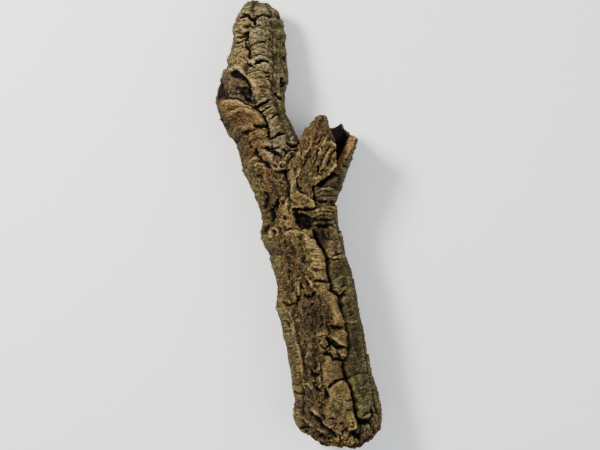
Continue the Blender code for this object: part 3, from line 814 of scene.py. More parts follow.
def columns_of(relief, columns, wild):
    """Cuts the fissures and cracks of columns of plates; wild is 1 where plates don't form."""
    along, degrees = relief.warp()
    per_degree = np.radians(1) * relief.limb.width
    lines = [straight_through(column["line"], along) for column in columns]
    offsets = np.stack([(degrees - line) % 360 for line in lines])
    own = offsets.argmin(0)
    from_left = offsets.min(0) * per_degree
    to_right = (-offsets % 360).min(0) * per_degree
    share = from_left / (from_left + to_right)
    arch = np.array([column["arch"] for column in columns], float)[own]
    tame = 1 - wild
    higher = 0.7 * smooth(100, 160, along)

    level = along + arch * ((2 * share - 1) ** 2 - 0.5)
    level = level + 1.3 * relief.noise(8, 5) + 0.5 * relief.noise(3.2, 6)
    for number, column in enumerate(columns):
        here = own == number
        at, depth = crack_series(column, relief.salt + number)
        lower = np.clip(np.searchsorted(at, level[here]) - 1, 0, len(at) - 2)
        below, above = level[here] - at[lower], at[lower + 1] - level[here]
        place = np.full(below.shape, number * 5.0)
        across = np.stack([at[lower] * 0.37, from_left[here] / 8, place], -1)
        deep_below = depth[lower] * np.clip(0.65 + 0.9 * noise(across, 7), 0, 1.2)
        across[:, 0] = at[lower + 1] * 0.37
        deep_above = depth[lower + 1] * np.clip(0.65 + 0.9 * noise(across, 7), 0, 1.2)
        climb = np.exp(-below / (0.9 + 0.42 * deep_below))
        drop = np.exp(-((above / 0.8) ** 2))
        lip = 0.42 * deep_above * np.exp(-(((above - 2.0) / 2.6) ** 2))
        swell = np.minimum(0.3 + 0.8 * deep_above + higher[here], 2.6)
        swell = swell * np.minimum((below + above) / 14, 1) * below / (below + above)
        cracks = 0.85 * deep_below * climb + 0.7 * deep_above * drop
        relief.grow[here] += tame[here] * (swell + lip - cracks)
        relief.forward[here] += tame[here] * 0.6 * lip
        # Painted shade in the plates' cracks.
        dark_below = np.clip(deep_below / 2.5, 0, 1) * climb
        dark_above = np.clip(deep_above / 3, 0, 1) * drop
        relief.paint_shade(tame[here] * np.maximum(dark_below, dark_above), here)

    wrinkle, marks = layers_from(level, PLATE_LAYERS, 1.1 * relief.noise(10, 8) + 3 * own)
    strength = tame * relief.between(0.1, 1.2, 0.6, 1.2, 12, 9)
    relief.grow += 1.1 * (wrinkle - 0.4) * strength
    relief.line(0.5 * marks * strength)

    relief.grow += 2.2 * (1 - np.abs(2 * share - 1) ** 2.5) * (0.35 + 0.65 * tame)
    for number, column in enumerate(columns):
        depth = straight_through(column["depth"], along)
        aside = np.abs((degrees - lines[number] + 180) % 360 - 180) * per_degree
        reach = column["reach"] * (1 + 0.5 * relief.noise(9, 12 + number))
        depth = depth * relief.between(0.1, 1.4, 0.9, 0.7, 13, 30 + number)
        shut = smooth(0.25, -0.25, relief.noise((55, 30), 65 + number))
        depth = depth * (1 - relief.below * shut)
        groove = np.exp(-((aside / reach) ** 1.6))
        relief.grow -= depth * groove
        # Painted shade in the fissure.
        relief.paint_shade(np.clip(depth / 4, 0, 1) * groove)


def crack_series(column, seed):
    """Where a column's cracks are along it, and how deep: its own list, or random ones."""
    if "cracks" in column:
        at, depth = np.array(column["cracks"], float).T
        return at, depth
    draw = np.random.default_rng(seed)
    at, depth = [-310.0], [0.0]
    while at[-1] < 310:
        at.append(at[-1] + draw.uniform(7, 30))
        depth.append(draw.choice((0.3, 0.8, 1.6, 2.6, 4.2), p=(0.3, 0.3, 0.2, 0.12, 0.08)))
    return np.array(at), np.array(depth)


def crumble(relief, amount, even=0):
    """The crumbled inner bark: soft hollows, torn layers, grains and small holes.

    Its flakes are long, except that they are short where even is 1.
    """
    bent = relief.spot + 2.5 * np.stack([relief.noise(7, salt) for salt in (27, 28, 29)], -1)
    soft = 2.4 * relief.noise((26, 15), 23) + 1.6 * relief.noise((10, 7), 24)
    flakes = ridged(bent / (15, 4.5, 4.5), 3, relief.salt + 20, gain=0.7)
    flakes = flakes + even * (ridged(bent / 7, 2, relief.salt + 25) - flakes)
    grains = layered(bent / 3.7, 3, relief.salt + 21, gain=0.85)
    torn = terraced(soft + 2.4 * (flakes - 0.6) + 1.7 * grains, 1.3, 0.6)
    large, small = pits(bent / (9, 7, 7), 0.2, relief.salt + 22), pits(bent / 4.2, 0.28, 26)
    holes = np.maximum(large, 0.8 * small)
    relief.grow += amount * (torn - 3.0 * holes)
    # Painted shade in the holes.
    relief.paint_shade(amount * holes)


def layers_from(away, spacing, wander):
    """The fine steps of worn layers, evenly spaced from an edge, and the lines of painted shade
    under them.
    """
    phase = away / spacing + wander
    saw = phase - np.floor(phase)
    return saw**1.3 * smooth(1, 0.8, saw), smooth(0.82, 0.95, saw) + smooth(0.12, 0.0, saw)


def strokes(relief):
    """The single cracks, layers' edges, cords and coloured areas of the upper side."""
    x = relief.x + 1.5 * relief.noise(5.5, 36) + 0.5 * relief.noise(2.2, 34)
    y = relief.y + 1.5 * relief.noise(5.5, 37) + 0.5 * relief.noise(2.2, 35)
    uneven = relief.between(0.3, 1.5, 1, 0.9, 8, 38)
    shown = relief.upper_side

    def near(points, reach):
        (left, low), (right, high) = np.min(points, 0) - reach, np.max(points, 0) + reach
        return (x > left) & (x < right) & (y > low) & (y < high) & (shown > 0.01)

    def shape_of(points, here):
        """How far places are from a line, on which side, and how near to the line's ends."""
        away, side, place, length = to_line(points, x[here], y[here])
        return away, side, smooth(0, 5, np.minimum(place, length - place))

    for height, reach, points in EDGES:
        here = near(points, 3 * reach)
        away, side, strength = shape_of(points, here)
        strength = strength * shown[here] * np.minimum(uneven[here] + 0.2, 1.1)
        on_layer = side > 0
        left = away * on_layer
        rise = np.where(on_layer, np.exp(-left / reach), np.exp(-((away / 0.7) ** 2)))
        relief.grow[here] += strength * height * rise
        shade = np.where(on_layer, 0, np.exp(-((away - 1) / 1.3) ** 2))
        shade = strength * min(height / 3, 1) * shade
        relief.grow[here] -= 0.5 * height * shade
        relief.paint_shade(0.8 * shade, here)
        lit = strength * min(height / 3, 1) * np.exp(-(((left - 0.8) / 1.2) ** 2))
        relief.paint_highlight(lit * on_layer, here)
    for height, reach, points in RIDGES:
        here = near(points, 4 * reach)
        away, _, _ = shape_of(points, here)
        cord = np.exp(-((away / reach) ** 2)) * shown[here] * np.minimum(uneven[here] + 0.1, 1.1)
        relief.grow[here] += height * cord
        # A painted highlight along each cord.
        relief.paint_highlight(0.8 * cord, here)
    for depth, reach, points in CRACKS:
        here = near(points, 4 * reach)
        away, _, strength = shape_of(points, here)
        width = reach * uneven[here] * (0.6 + 0.4 * strength)
        amount = np.zeros(x.shape)
        amount[here] = np.exp(-((away / width) ** (3 if reach > 2.5 else 2)))
        amount[here] *= shown[here] * np.minimum(uneven[here] + 0.2, 1.1)
        relief.cut(depth, amount)
    for mask, areas in AREAS.items():
        for strength, soft, corners in areas:
            here = near(corners, soft)
            area = np.zeros(x.shape)
            area[here] = strength * inside(corners, x[here], y[here], soft) * shown[here]
            relief.cover(mask, area)
    relief.masks["glint"] = relief.glint * (1 - relief.crease)


def weathered(relief, layers=0.55, grained=1.0, lined=0.0):
    """Uneven growth, worn layers, and weather's grain, which is in fine lines where lined is 1."""
    relief.grow += 1.7 * relief.noise(27, 40) + 0.9 * relief.noise(9, 43)
    relief.grow = terraced(relief.grow + 0.3 * relief.noise(4, 44), 1.0, layers)
    grains = layered(relief.spot / 4.2, 3, relief.salt + 41, gain=0.8)
    lines = layered(relief.spot / (2.5, 9, 9), 2, relief.salt + 42, gain=0.7)
    relief.grow += grained * (grains + lined * (0.9 * lines - 0.6 * grains))


def relief_of_trunk(limb):
    """The relief of the trunk and the upper branch."""
    relief = Relief(limb, 100)
    along, degrees = relief.warp()
    per_degree = np.radians(1) * limb.width
    left, fissure = (straight_through(COLUMNS[number]["line"], along) for number in (2, 3))
    edge = straight_through(RIDGE_EDGE, along)
    past_edge = (degrees - edge) * per_degree
    to_fissure = (fissure - degrees) * per_degree
    from_left = (degrees - left) * per_degree + 5 * relief.noise(13, 48, 2)

    below_fork = smooth(-2, -12, along)
    fork_face = smooth(-14, -2, along) * smooth(92, 76, along)
    fork_face *= smooth(-62, -50, degrees) * smooth(34, 22, degrees)
    face = smooth(-4, 3, from_left) * smooth(3, -1, past_edge)
    face = np.maximum(face * below_fork, fork_face)
    ridge = smooth(-1, 3, past_edge) * below_fork * smooth(-0.5, 0.5, to_fissure)
    wide_end = smooth(-243, -262, along + 8 * relief.noise(14, 30))
    grainy = smooth(28, 44, degrees) * smooth(130, 108, degrees) * smooth(95, 120, along)
    swollen, crotch, torn = relief.area(SWOLLEN, 6), relief.area(CROTCH, 14), relief.area(TORN, 6)
    slab, knot = relief.area(SLAB, 3), relief.area(KNOT, 5)
    wild = (face, ridge, 0.9 * wide_end, crotch, slab, 0.6 * swollen, 0.85 * grainy, 0.9 * torn)
    wild = np.clip(np.maximum.reduce(wild), 0, 1)
    columns_of(relief, COLUMNS, wild)

    from_edge, side, place, _ = to_line(PLATE_EDGE, relief.x, relief.y)
    pleated = (side > 0) * np.exp(-((from_edge / 9) ** 2))
    pleated = pleated * relief.upper_side * smooth(-76, -58, relief.y)
    rough = np.clip(face + 0.8 * wide_end + crotch + 0.9 * torn, 0, 1)
    rough = rough * (1 - 0.25 * slab) * (1 - 0.7 * pleated)
    crumble(relief, np.maximum.reduce([rough, 0.35 * grainy, 0.6 * knot]), wide_end)
    chunks = ridged(relief.spot / (8, 6, 6) + 0.5 * relief.noise(5, 51)[..., None], 2, 77, 0.5)
    gap = wide_end * smooth(0.68, 0.9, chunks)
    relief.grow -= 4.5 * gap
    # Painted shade in the gaps between the wide end's chunks.
    relief.paint_shade(0.6 * gap)
    relief.grow += 1.8 * wide_end * relief.noise(5, 52, 2)

    step = smooth(0, 7, past_edge) * smooth(-0.5, 2.5, to_fissure) * below_fork
    bands = (along + 0.4 * (degrees - edge)) / RIDGE_BANDS
    bands = np.abs(np.sin(np.pi * bands + 2.0 * relief.noise((9, 14), 33)))
    relief.grow += 3.4 * step + ridge * (0.8 * (bands**0.6 - 0.6) + 1.2 * relief.noise(9, 34, 2))
    relief.around += 1.6 * step * np.exp(-((to_fissure / 4) ** 2))
    relief.grow -= 1.8 * below_fork * smooth(-1, 3, -to_fissure) * smooth(62, 50, degrees)

    from_top, _, _, _ = to_line(SWOLLEN[:5], relief.x, relief.y)
    steps, marks = layers_from(from_top, SWELLING_LAYERS, 1.1 * relief.noise(12, 39, 2))
    relief.grow += swollen * (2.6 + 1.5 * steps + 1.2 * relief.noise(9, 33))
    # Painted shade in the swelling's layer lines and a painted highlight on their steps.
    relief.line(0.6 * marks * swollen)
    lit = 0.4 * swollen * smooth(0.5, 0.9, steps)
    relief.paint_highlight(lit * relief.between(0, 1, 0, 2, 8, 53))
    steps, marks = layers_from(place, EDGE_LAYERS, 0.5 * relief.noise(9, 45) + 0.05 * from_edge)
    relief.grow += pleated * (1.3 * steps - 0.5)
    # Painted shade in the pleats' lines and a painted highlight on their steps.
    relief.paint_shade(0.6 * marks * pleated)
    lit = 0.9 * pleated * smooth(0.4, 0.9, steps)
    relief.paint_highlight(lit * relief.between(0, 1, 0.5, 1, 7, 54))
    relief.grow += straight_through(LEFT_TRIM, along) * np.clip(-limb.sin[..., 0], 0, 1)
    relief.grow += straight_through(RIGHT_TRIM, along) * np.clip(limb.sin[..., 0], 0, 1)

    lean = relief.x * SLAB_ACROSS + relief.y * SLAB_UP
    across = relief.x * SLAB_UP - relief.y * SLAB_ACROSS
    streaks = ridged(np.stack([lean / 15, across / 3.4, relief.point[..., 2] / 3.4], -1), 2, 37)
    steps, marks = layers_from(across, SLAB_LAYERS, 1.5 * relief.noise(15, 49, 2))
    lines = 0.9 * (streaks - 0.6) + 0.8 * (steps - 0.4)
    relief.grow += slab * (4.5 + lines + 0.6 * relief.noise(3.4, 38, 3))
    # Painted shade in the slab's layer lines and a painted highlight on their steps.
    relief.line(0.35 * marks * slab)
    lit = 0.55 * slab * smooth(0.6, 0.9, steps)
    relief.paint_highlight(lit * relief.between(0, 1, 0, 1.5, 7, 50))

    rugged = relief.x + 2.2 * relief.noise(6, 31, 2), relief.y + 2.2 * relief.noise(6, 32, 2)
    for depth, soft, corners in CAVITIES:
        amount = inside(corners, *rugged, soft) * relief.upper_side
        relief.cut(depth, amount * relief.between(0, 1, 0.9, 0.4, 5, 46))
    strokes(relief)
    weathered(relief, 0.55, 1 - 0.6 * swollen, 1 - wild)
    # The upper branch's lighter tone, and painted light at the wide end, which turns away from the
    # lamps.
    light = np.maximum(smooth(92, 135, along), 0.6 * smooth(-258, -274, along))
    brown = np.maximum(swollen, 0.8 * relief.area(BROWN, 8))
    relief.cover("upper", light)
    relief.masks["upper"] *= 1 - 0.8 * brown
    relief.cover("green", 0.5 * grainy)
    relief.masks.update(rough=rough, slab=slab, swollen=swollen)
    return relief


def relief_of_side(limb):
    """The relief of the side branch: a crumbled slab on top, and plates around the rest."""
    relief = Relief(limb, 700)
    top = smooth(-84, -72, limb.degrees) * smooth(34, 24, limb.degrees)
    columns_of(relief, SIDE_COLUMNS, top)
    streaks = ridged(relief.spot / (18, 4.4, 4.4), 3, relief.salt + 20)
    grains = relief.noise(3.2, 21, 3)
    holes = pits(relief.spot / 5.5, 0.3, relief.salt + 22)
    relief.grow += top * (terraced(2.2 * (streaks - 0.6), 0.8) + 1.5 * grains - 2.0 * holes)
    # Painted shade in the holes.
    relief.paint_shade(top * holes)
    strokes(relief)
    weathered(relief, lined=1 - top)
    relief.masks.update(rough=0.9 * top, slab=top)
    relief.cover("green", 0.6 * (1 - top))
    # The plates are lighter: partly their own olive tone, partly painted light where they lie in
    # shade.
    relief.cover("upper", 0.6 * (1 - top))
    return relief


# ---------------------------------------------------------------- from relief to meshes

MASKS = (
    "crease", "hollow", "crest", "glint", "rough", "gold", "dark", "green", "red", "mauve", "pale",
    "upper", "slab", "swollen", "inner", "broken",
)
DETAIL = 1.0
OUTER_STEP = 0.85 / DETAIL  # millimetres between the outer face's rows
INNER_STEP = 2.4 / DETAIL
RIM_ROWS = round(9 * DETAIL)
LAST_EVEN = 22  # the hollow keeps its outline over this much of the limb at each end


def ring_mesh(name, points, masks):
    """A closed ring-shaped mesh from points (rows, columns, 3) that wrap both ways."""
    rows, columns = points.shape[:2]
    index = np.arange(rows * columns).reshape(rows, columns)
    right, below = np.roll(index, -1, 1), np.roll(index, -1, 0)
    corner = np.roll(below, -1, 1)
    faces = np.stack([index, right, corner, below], -1).reshape(-1, 4)
    return mesh_object(name, points.reshape(-1, 3), faces, masks)


def mesh_object(name, points, faces, masks):
    mesh = bpy.data.meshes.new(name)
    mesh.vertices.add(len(points))
    mesh.vertices.foreach_set("co", (points * MM).astype(np.float32).ravel())
    mesh.loops.add(faces.size)
    mesh.loops.foreach_set("vertex_index", faces.ravel().astype(np.int32))
    mesh.polygons.add(len(faces))
    mesh.polygons.foreach_set("loop_start", np.arange(0, faces.size, 4, dtype=np.int32))
    mesh.update(calc_edges=True)
    for key, values in masks.items():
        layer = mesh.attributes.new(key, "FLOAT", "POINT")
        layer.data.foreach_set("value", values.astype(np.float32).ravel())
    made = bpy.data.objects.new(name, mesh)
    bpy.context.scene.collection.objects.link(made)
    return made


def hollow(stations, along, degrees, walls):
    """Places on a limb, how far each is past the limb's last even outline, and the wall there."""
    low, high = stations[0][0], stations[-1][0]
    keep = np.clip(along, low + LAST_EVEN, high - LAST_EVEN)
    return Limb(stations, keep, degrees), along - keep, wall(stations, walls, keep)


def wall(stations, walls, along):
    """How thick the bark is, in millimetres, from its values at a limb's two ends."""
    low, high = stations[0][0], stations[-1][0]
    return walls[0] + (walls[1] - walls[0]) * (along - low) / (high - low)


def inner_face(stations, along, degrees, walls):
    """The inner face of a limb: slight upright ribs that the wood left."""
    limb, past, thick = hollow(stations, along, degrees, walls)
    radius = (limb.width - thick)[..., None]
    spot = np.concatenate([along[..., None], radius * limb.sin, radius * limb.cos], -1)
    ribs = ridged(spot / (45, 5, 5), 2, 51) - 0.6
    grow = 1.0 * noise(spot / 21, 52) + 1.3 * ribs + 0.35 * layered(spot / (7, 2.2, 2.2), 2, 53)
    return limb.place(grow - thick, forward=past)


FLAT = 1.5  # the bark is worn flat this close to the floor
THINNEST = 3.0  # how much wall is left under the deepest cavity
ROLL_LENGTH = 11  # over this much of the limb, a worn end turns in
WORN = round(5 * DETAIL)  # how many columns each way a worn end is evened out over
CORE_STEP = 4.0  # millimetres between a core's rows


def above_floor(height):
    """Heights kept above zero, where the bark lies on the floor."""
    return np.where(height < FLAT, FLAT * np.exp(height / FLAT - 1), height)


def limb_wall(
    name, stations, relief_of, walls, degrees, set_back, rim_salt,
    rolled=(0, 0), inside_shade=0, fresh=(0, 1),
):
    """The wall of a limb as one closed mesh: outer face, broken rim, inner face, broken rim.

    The near and the far end are rolled in by millimetres and fresh by shares from 0 to 1.
    The inner face and the inner side of the far rim are painted with shade by a share from 0 to 1.
    """
    low, high = stations[0][0], stations[-1][0]
    start = low + set_back("start", degrees)
    stop = high - set_back("stop", degrees)
    share = np.linspace(0, 1, round((high - low) / OUTER_STEP))[:, None]
    limb = Limb(stations, start + (stop - start) * share, degrees[None, :])
    relief = relief_of(limb)
    evened = sum(np.roll(relief.grow, step, 1) for step in range(-WORN, WORN + 1)) / (2 * WORN + 1)
    for rolled_in, to_end in zip(rolled, (limb.along - start, stop - limb.along)):
        relief.grow += 0.8 * (evened - relief.grow) * smooth(5, 0, to_end) * (rolled_in > 0)
        relief.grow -= rolled_in * (1 - smooth(0, ROLL_LENGTH, to_end))
    relief.grow = np.maximum(relief.grow, THINNEST - wall(stations, walls, limb.along))
    outer = limb.place(relief.grow, relief.forward, relief.around)
    outer[..., 2] = above_floor(outer[..., 2])
    masks = dict(relief.masks, crease=relief.crease)
    # Painted shade in the hollows and a painted highlight on the crests, from the relief against
    # its blurred self.
    height = sum(
        (relief.grow - blurred(relief.grow, round(size * DETAIL))) / usual
        for size, usual in ((14, 3.8), (6, 2.6), (2, 1.6))
    )
    height *= 1 - 0.35 * masks["slab"]
    masks["hollow"] = np.clip(-height, 0, 1)
    masks["crest"] = np.clip(height, 0, 1)

    back = np.linspace(1, 0, round((high - low) / INNER_STEP))[:, None]
    inner = inner_face(stations, start + (stop - start) * back, degrees + 0 * back, walls)
    rim_share = (np.arange(1, RIM_ROWS + 1) / (RIM_ROWS + 1))[:, None]

    def rim(first, last, salt, ahead):
        """The broken face from one row of points to another, bowed and ragged ahead."""
        points = first + (last - first) * rim_share[..., None]
        turn = np.radians(degrees) + 0 * rim_share
        spot = np.stack([4.5 * np.cos(turn), 4.5 * np.sin(turn), 4 * rim_share + 0 * turn], -1)
        ragged = 2.4 * layered(spot, 3, salt) + 0.8 * noise(points / 2.2, salt + 5)
        return points + ahead * ((ragged + 1.5) * np.sin(np.pi * rim_share))[..., None]

    far = rim(outer[-1], inner[0], rim_salt, limb.ahead[-1])
    near = rim(inner[-1], outer[0], rim_salt + 9, -limb.ahead[0])
    parts = outer, far, inner, near

    def stacked(*values):
        return np.concatenate([np.broadcast_to(v, p.shape[:2]) for v, p in zip(values, parts)])

    outward = smooth(0.85, 0.6, rim_share)
    layers = {key: stacked(masks.get(key, 0), 0, 0, 0) for key in MASKS}
    layers["inner"] = stacked(0, 1 - outward, 1, 1 - outward[::-1])
    layers["broken"] = stacked(0, fresh[1] * outward, 0, fresh[0] * outward[::-1])
    # Painted shade over the inner face and the inner side of the far rim.
    layers["dark"] = stacked(masks.get("dark", 0), (1 - outward) * inside_shade, inside_shade, 0)
    layers["known"] = stacked(1, 1, 1, 1)
    return ring_mesh(name, np.concatenate(parts), layers)


def core(name, stations, walls, overrun_start, overrun_stop):
    """A solid that fills a limb's hollow and reaches OVERLAP into its wall."""
    low, high = stations[0][0] - overrun_start, stations[-1][0] + overrun_stop
    along = np.arange(low, high + 1, CORE_STEP)[:, None]
    degrees = np.arange(-180, 180, 3.0)[None, :]
    limb, past, thick = hollow(stations, *np.broadcast_arrays(along, degrees), walls)
    points = limb.place(OVERLAP - thick, forward=past)
    middles = points.mean(1, keepdims=True)[[0, -1]]
    points = np.concatenate([middles[:1] + 0 * points[:1], points, middles[1:] + 0 * points[:1]])
    made = ring_mesh(name, points, {"known": np.zeros(points.shape[:2])})
    cut_ring = bmesh.new()
    cut_ring.from_mesh(made.data)
    bmesh.ops.remove_doubles(cut_ring, verts=cut_ring.verts, dist=0.01 * MM)
    cut_ring.to_mesh(made.data)
    cut_ring.free()
    return made


def boolean(target, cutter, operation):
    modifier = target.modifiers.new(cutter.name, "BOOLEAN")
    modifier.object = cutter
    modifier.operation = operation
    modifier.solver = "MANIFOLD"


def applied(source, name, *used_up):
    """A new object with the source's modifiers applied; the source and what it used are removed."""
    bpy.context.view_layer.update()
    evaluated = source.evaluated_get(bpy.context.evaluated_depsgraph_get())
    mesh = bpy.data.meshes.new_from_object(evaluated)
    for old in (source, *used_up):
        bpy.data.objects.remove(old)
    made = bpy.data.objects.new(name, mesh)
    bpy.context.scene.collection.objects.link(made)
    return made


def trunk_set_back(which, degrees):
    """How far the wide end and the narrow end stand back from the limb's last stations."""
    turn = np.radians(degrees)
    end = np.full(turn.shape, 1.0 if which == "start" else -1.0)
    spot = np.stack([np.cos(turn), np.sin(turn), end], -1)
    table = WIDE_END if which == "start" else NARROW_END
    return straight_through(table, degrees) + 1.8 * noise(spot * 4, 61) + 0.8 * noise(spot * 11, 62)


def side_set_back(which, degrees):
    if which == "start":
        return np.zeros(degrees.shape)
    turn = np.radians(degrees)
    spot = np.stack([np.cos(turn), np.sin(turn), 0 * turn], -1)
    return straight_through(SIDE_BREAK, degrees) + 1.5 * noise(spot * 9, 63)


def even_degrees(count, set_back, radius):
    """Turns spaced evenly along a limb's broken end, where a steep break has its share of them."""
    degrees = np.linspace(-180, 180, 2000)
    back = set_back("stop", degrees)
    steps = np.hypot(np.diff(np.radians(degrees) * radius), np.diff(back) * 0.7)
    length = np.concatenate([[0], np.cumsum(steps)])
    return np.interp(np.linspace(0, length[-1], count + 1)[:-1], length, degrees)


trunk_degrees = np.linspace(-180, 180, round(360 * DETAIL) + 1)[:-1]
bark = limb_wall(
    "bark", TRUNK_AND_UPPER, relief_of_trunk, TRUNK_WALLS, trunk_degrees, trunk_set_back, 71,
    rolled=(4.5, 2.5), fresh=(0.3, 0.05),
)
side_degrees = even_degrees(round(330 * DETAIL), side_set_back, 33)
side_fresh = 0.35 + 0.65 * smooth(10, 30, side_degrees) * smooth(130, 100, side_degrees)
# The side branch's inner face is painted almost black with shade.
side = limb_wall(
    "side", SIDE_BRANCH, relief_of_side, SIDE_WALLS, side_degrees, side_set_back, 72,
    inside_shade=0.9, fresh=(0, side_fresh),
)
trunk_core = core("trunk_core", TRUNK_AND_UPPER, TRUNK_WALLS, 30, 30)
side_core = core("side_core", SIDE_BRANCH, SIDE_WALLS, 0, 30)
boolean(side, trunk_core, "DIFFERENCE")
side = applied(side, "side_open", trunk_core)
boolean(bark, side_core, "DIFFERENCE")
boolean(bark, side, "UNION")
whole = applied(bark, "whole", side_core, side)


def half_space(name, point, outward_turn):
    """A metre cube whose one face passes through a point, on the side of its outward turn."""
    bpy.ops.mesh.primitive_cube_add(size=1)
    cube = bpy.context.active_object
    cube.name = name
    outward = Vector((math.cos(outward_turn), math.sin(outward_turn), 0))
    middle = Matrix.Translation(Vector(point * MM) + outward * 0.5)
    cube.matrix_world = middle @ Matrix.Rotation(outward_turn, 4, "Z")
    return cube


QUARTER = math.pi / 2
SPLITS = {
    "trunk": (SIDE_SPLIT_TURN - QUARTER, UPPER_SPLIT_TURN - QUARTER),
    "upper_branch": (UPPER_SPLIT_TURN + QUARTER, BETWEEN_TURN + QUARTER),
    "side_branch": (SIDE_SPLIT_TURN + QUARTER, BETWEEN_TURN - QUARTER),
}
MOST_TRIANGLES = 195_000  # in one piece
SAME_POINT = 0.002 * MM  # vertices this close are made one
FILL_ROUNDS = 6  # how many edges away from a known mask a join's vertices may be
CLEAN_ROUNDS = 6


def fill_unknown(mesh):
    """Gives the vertices that a join or a cut made the masks of their neighbours."""
    count = len(mesh.vertices)
    known = np.zeros(count, np.float32)
    mesh.attributes["known"].data.foreach_get("value", known)
    edges = np.zeros(len(mesh.edges) * 2, np.int32)
    mesh.edges.foreach_get("vertices", edges)
    a, b = edges.reshape(-1, 2).T
    weight = (known > 0.5).astype(float)
    layers = {}
    for key in MASKS:
        values = np.zeros(count, np.float32)
        mesh.attributes[key].data.foreach_get("value", values)
        layers[key] = values.astype(float)

    def around(values):
        """The sum of the values at each vertex's neighbours."""
        return np.bincount(a, values[b], count) + np.bincount(b, values[a], count)

    for _ in range(FILL_ROUNDS):
        missing = weight < 0.5
        if not missing.any():
            break
        near = around(weight)
        ready = missing & (near > 0)
        for values in layers.values():
            values[ready] = (around(weight * values) / np.maximum(near, 1))[ready]
        weight[ready] = 1
    for key, values in layers.items():
        mesh.attributes[key].data.foreach_set("value", values.astype(np.float32))


def drop_slivers(work):
    """Takes away every island of faces but the largest."""
    left, islands = set(work.verts), []
    while left:
        island = [left.pop()]
        for vert in island:
            for edge in vert.link_edges:
                other = edge.other_vert(vert)
                if other in left:
                    left.remove(other)
                    island.append(other)
        islands.append(island)
    islands.sort(key=len)
    slivers = [vert for island in islands[:-1] for vert in island]
    bmesh.ops.delete(work, geom=slivers, context="VERTS")


def clean(mesh):
    """Leaves one closed surface of triangles, without slivers, doubled faces or pinholes."""
    work = bmesh.new()
    work.from_mesh(mesh)
    for turn in range(CLEAN_ROUNDS):
        bmesh.ops.remove_doubles(work, verts=work.verts[:], dist=SAME_POINT)
        bmesh.ops.dissolve_degenerate(work, edges=work.edges[:], dist=SAME_POINT)
        bmesh.ops.triangulate(work, faces=work.faces[:])
        shared = {f for e in work.edges if len(e.link_faces) > 2 for f in e.link_faces}
        corners = {}
        for face in work.faces:
            corners.setdefault(frozenset(face.verts), []).append(face)
        shared |= {face for same in corners.values() if len(same) > 1 for face in same}
        bmesh.ops.delete(work, geom=list(shared), context="FACES")
        loose = [e for e in work.edges if not e.link_faces]
        bmesh.ops.delete(work, geom=loose, context="EDGES")
        drop_slivers(work)
        rims = [e for e in work.edges if e.is_boundary]
        if not shared and not rims:
            break
        if turn % 2:
            bmesh.ops.collapse(work, edges=rims, uvs=False)
        else:
            filled = bmesh.ops.holes_fill(work, edges=rims, sides=0)["faces"]
            bmesh.ops.triangulate(work, faces=filled)
    work.to_mesh(mesh)
    work.free()
    mesh.validate()


def split(whole):
    """One closed piece of bark for each of the frame's nodes, cut at the fork."""
    pieces = {}
    for node, turns in SPLITS.items():
        piece = bpy.data.objects.new(node + "_part", whole.data.copy())
        bpy.context.scene.collection.objects.link(piece)
        halves = [half_space(f"half_{k}", FORK, turn) for k, turn in enumerate(turns)]
        for half in halves:
            boolean(piece, half, "INTERSECT")
        piece = applied(piece, node + "_bark", *halves)
        fill_unknown(piece.data)
        clean(piece.data)
        triangles = len(piece.data.polygons)
        if triangles > MOST_TRIANGLES:
            thinner = piece.modifiers.new("thinner", "DECIMATE")
            thinner.ratio = MOST_TRIANGLES / triangles
            piece = applied(piece, node + "_thin")
            clean(piece.data)
        piece.name = node + "_bark"
        piece.data.shade_smooth()
        pieces[node] = piece
    bpy.data.objects.remove(whole)
    return pieces


pieces = split(whole)

# ---------------------------------------------------------------- the bark's material

PAINT = 0.36  # how much darker the bark is than it looks in the studio's bright light


def srgb(red, green, blue):
    """A colour as it looks in the studio, from 0 to 255, as the linear colour a shader takes."""
    shares = (v / 255 for v in (red, green, blue))
    linear = (((v + 0.055) / 1.055) ** 2.4 if v > 0.04 else v / 12.92 for v in shares)
    return tuple(v * PAINT for v in linear) + (1,)


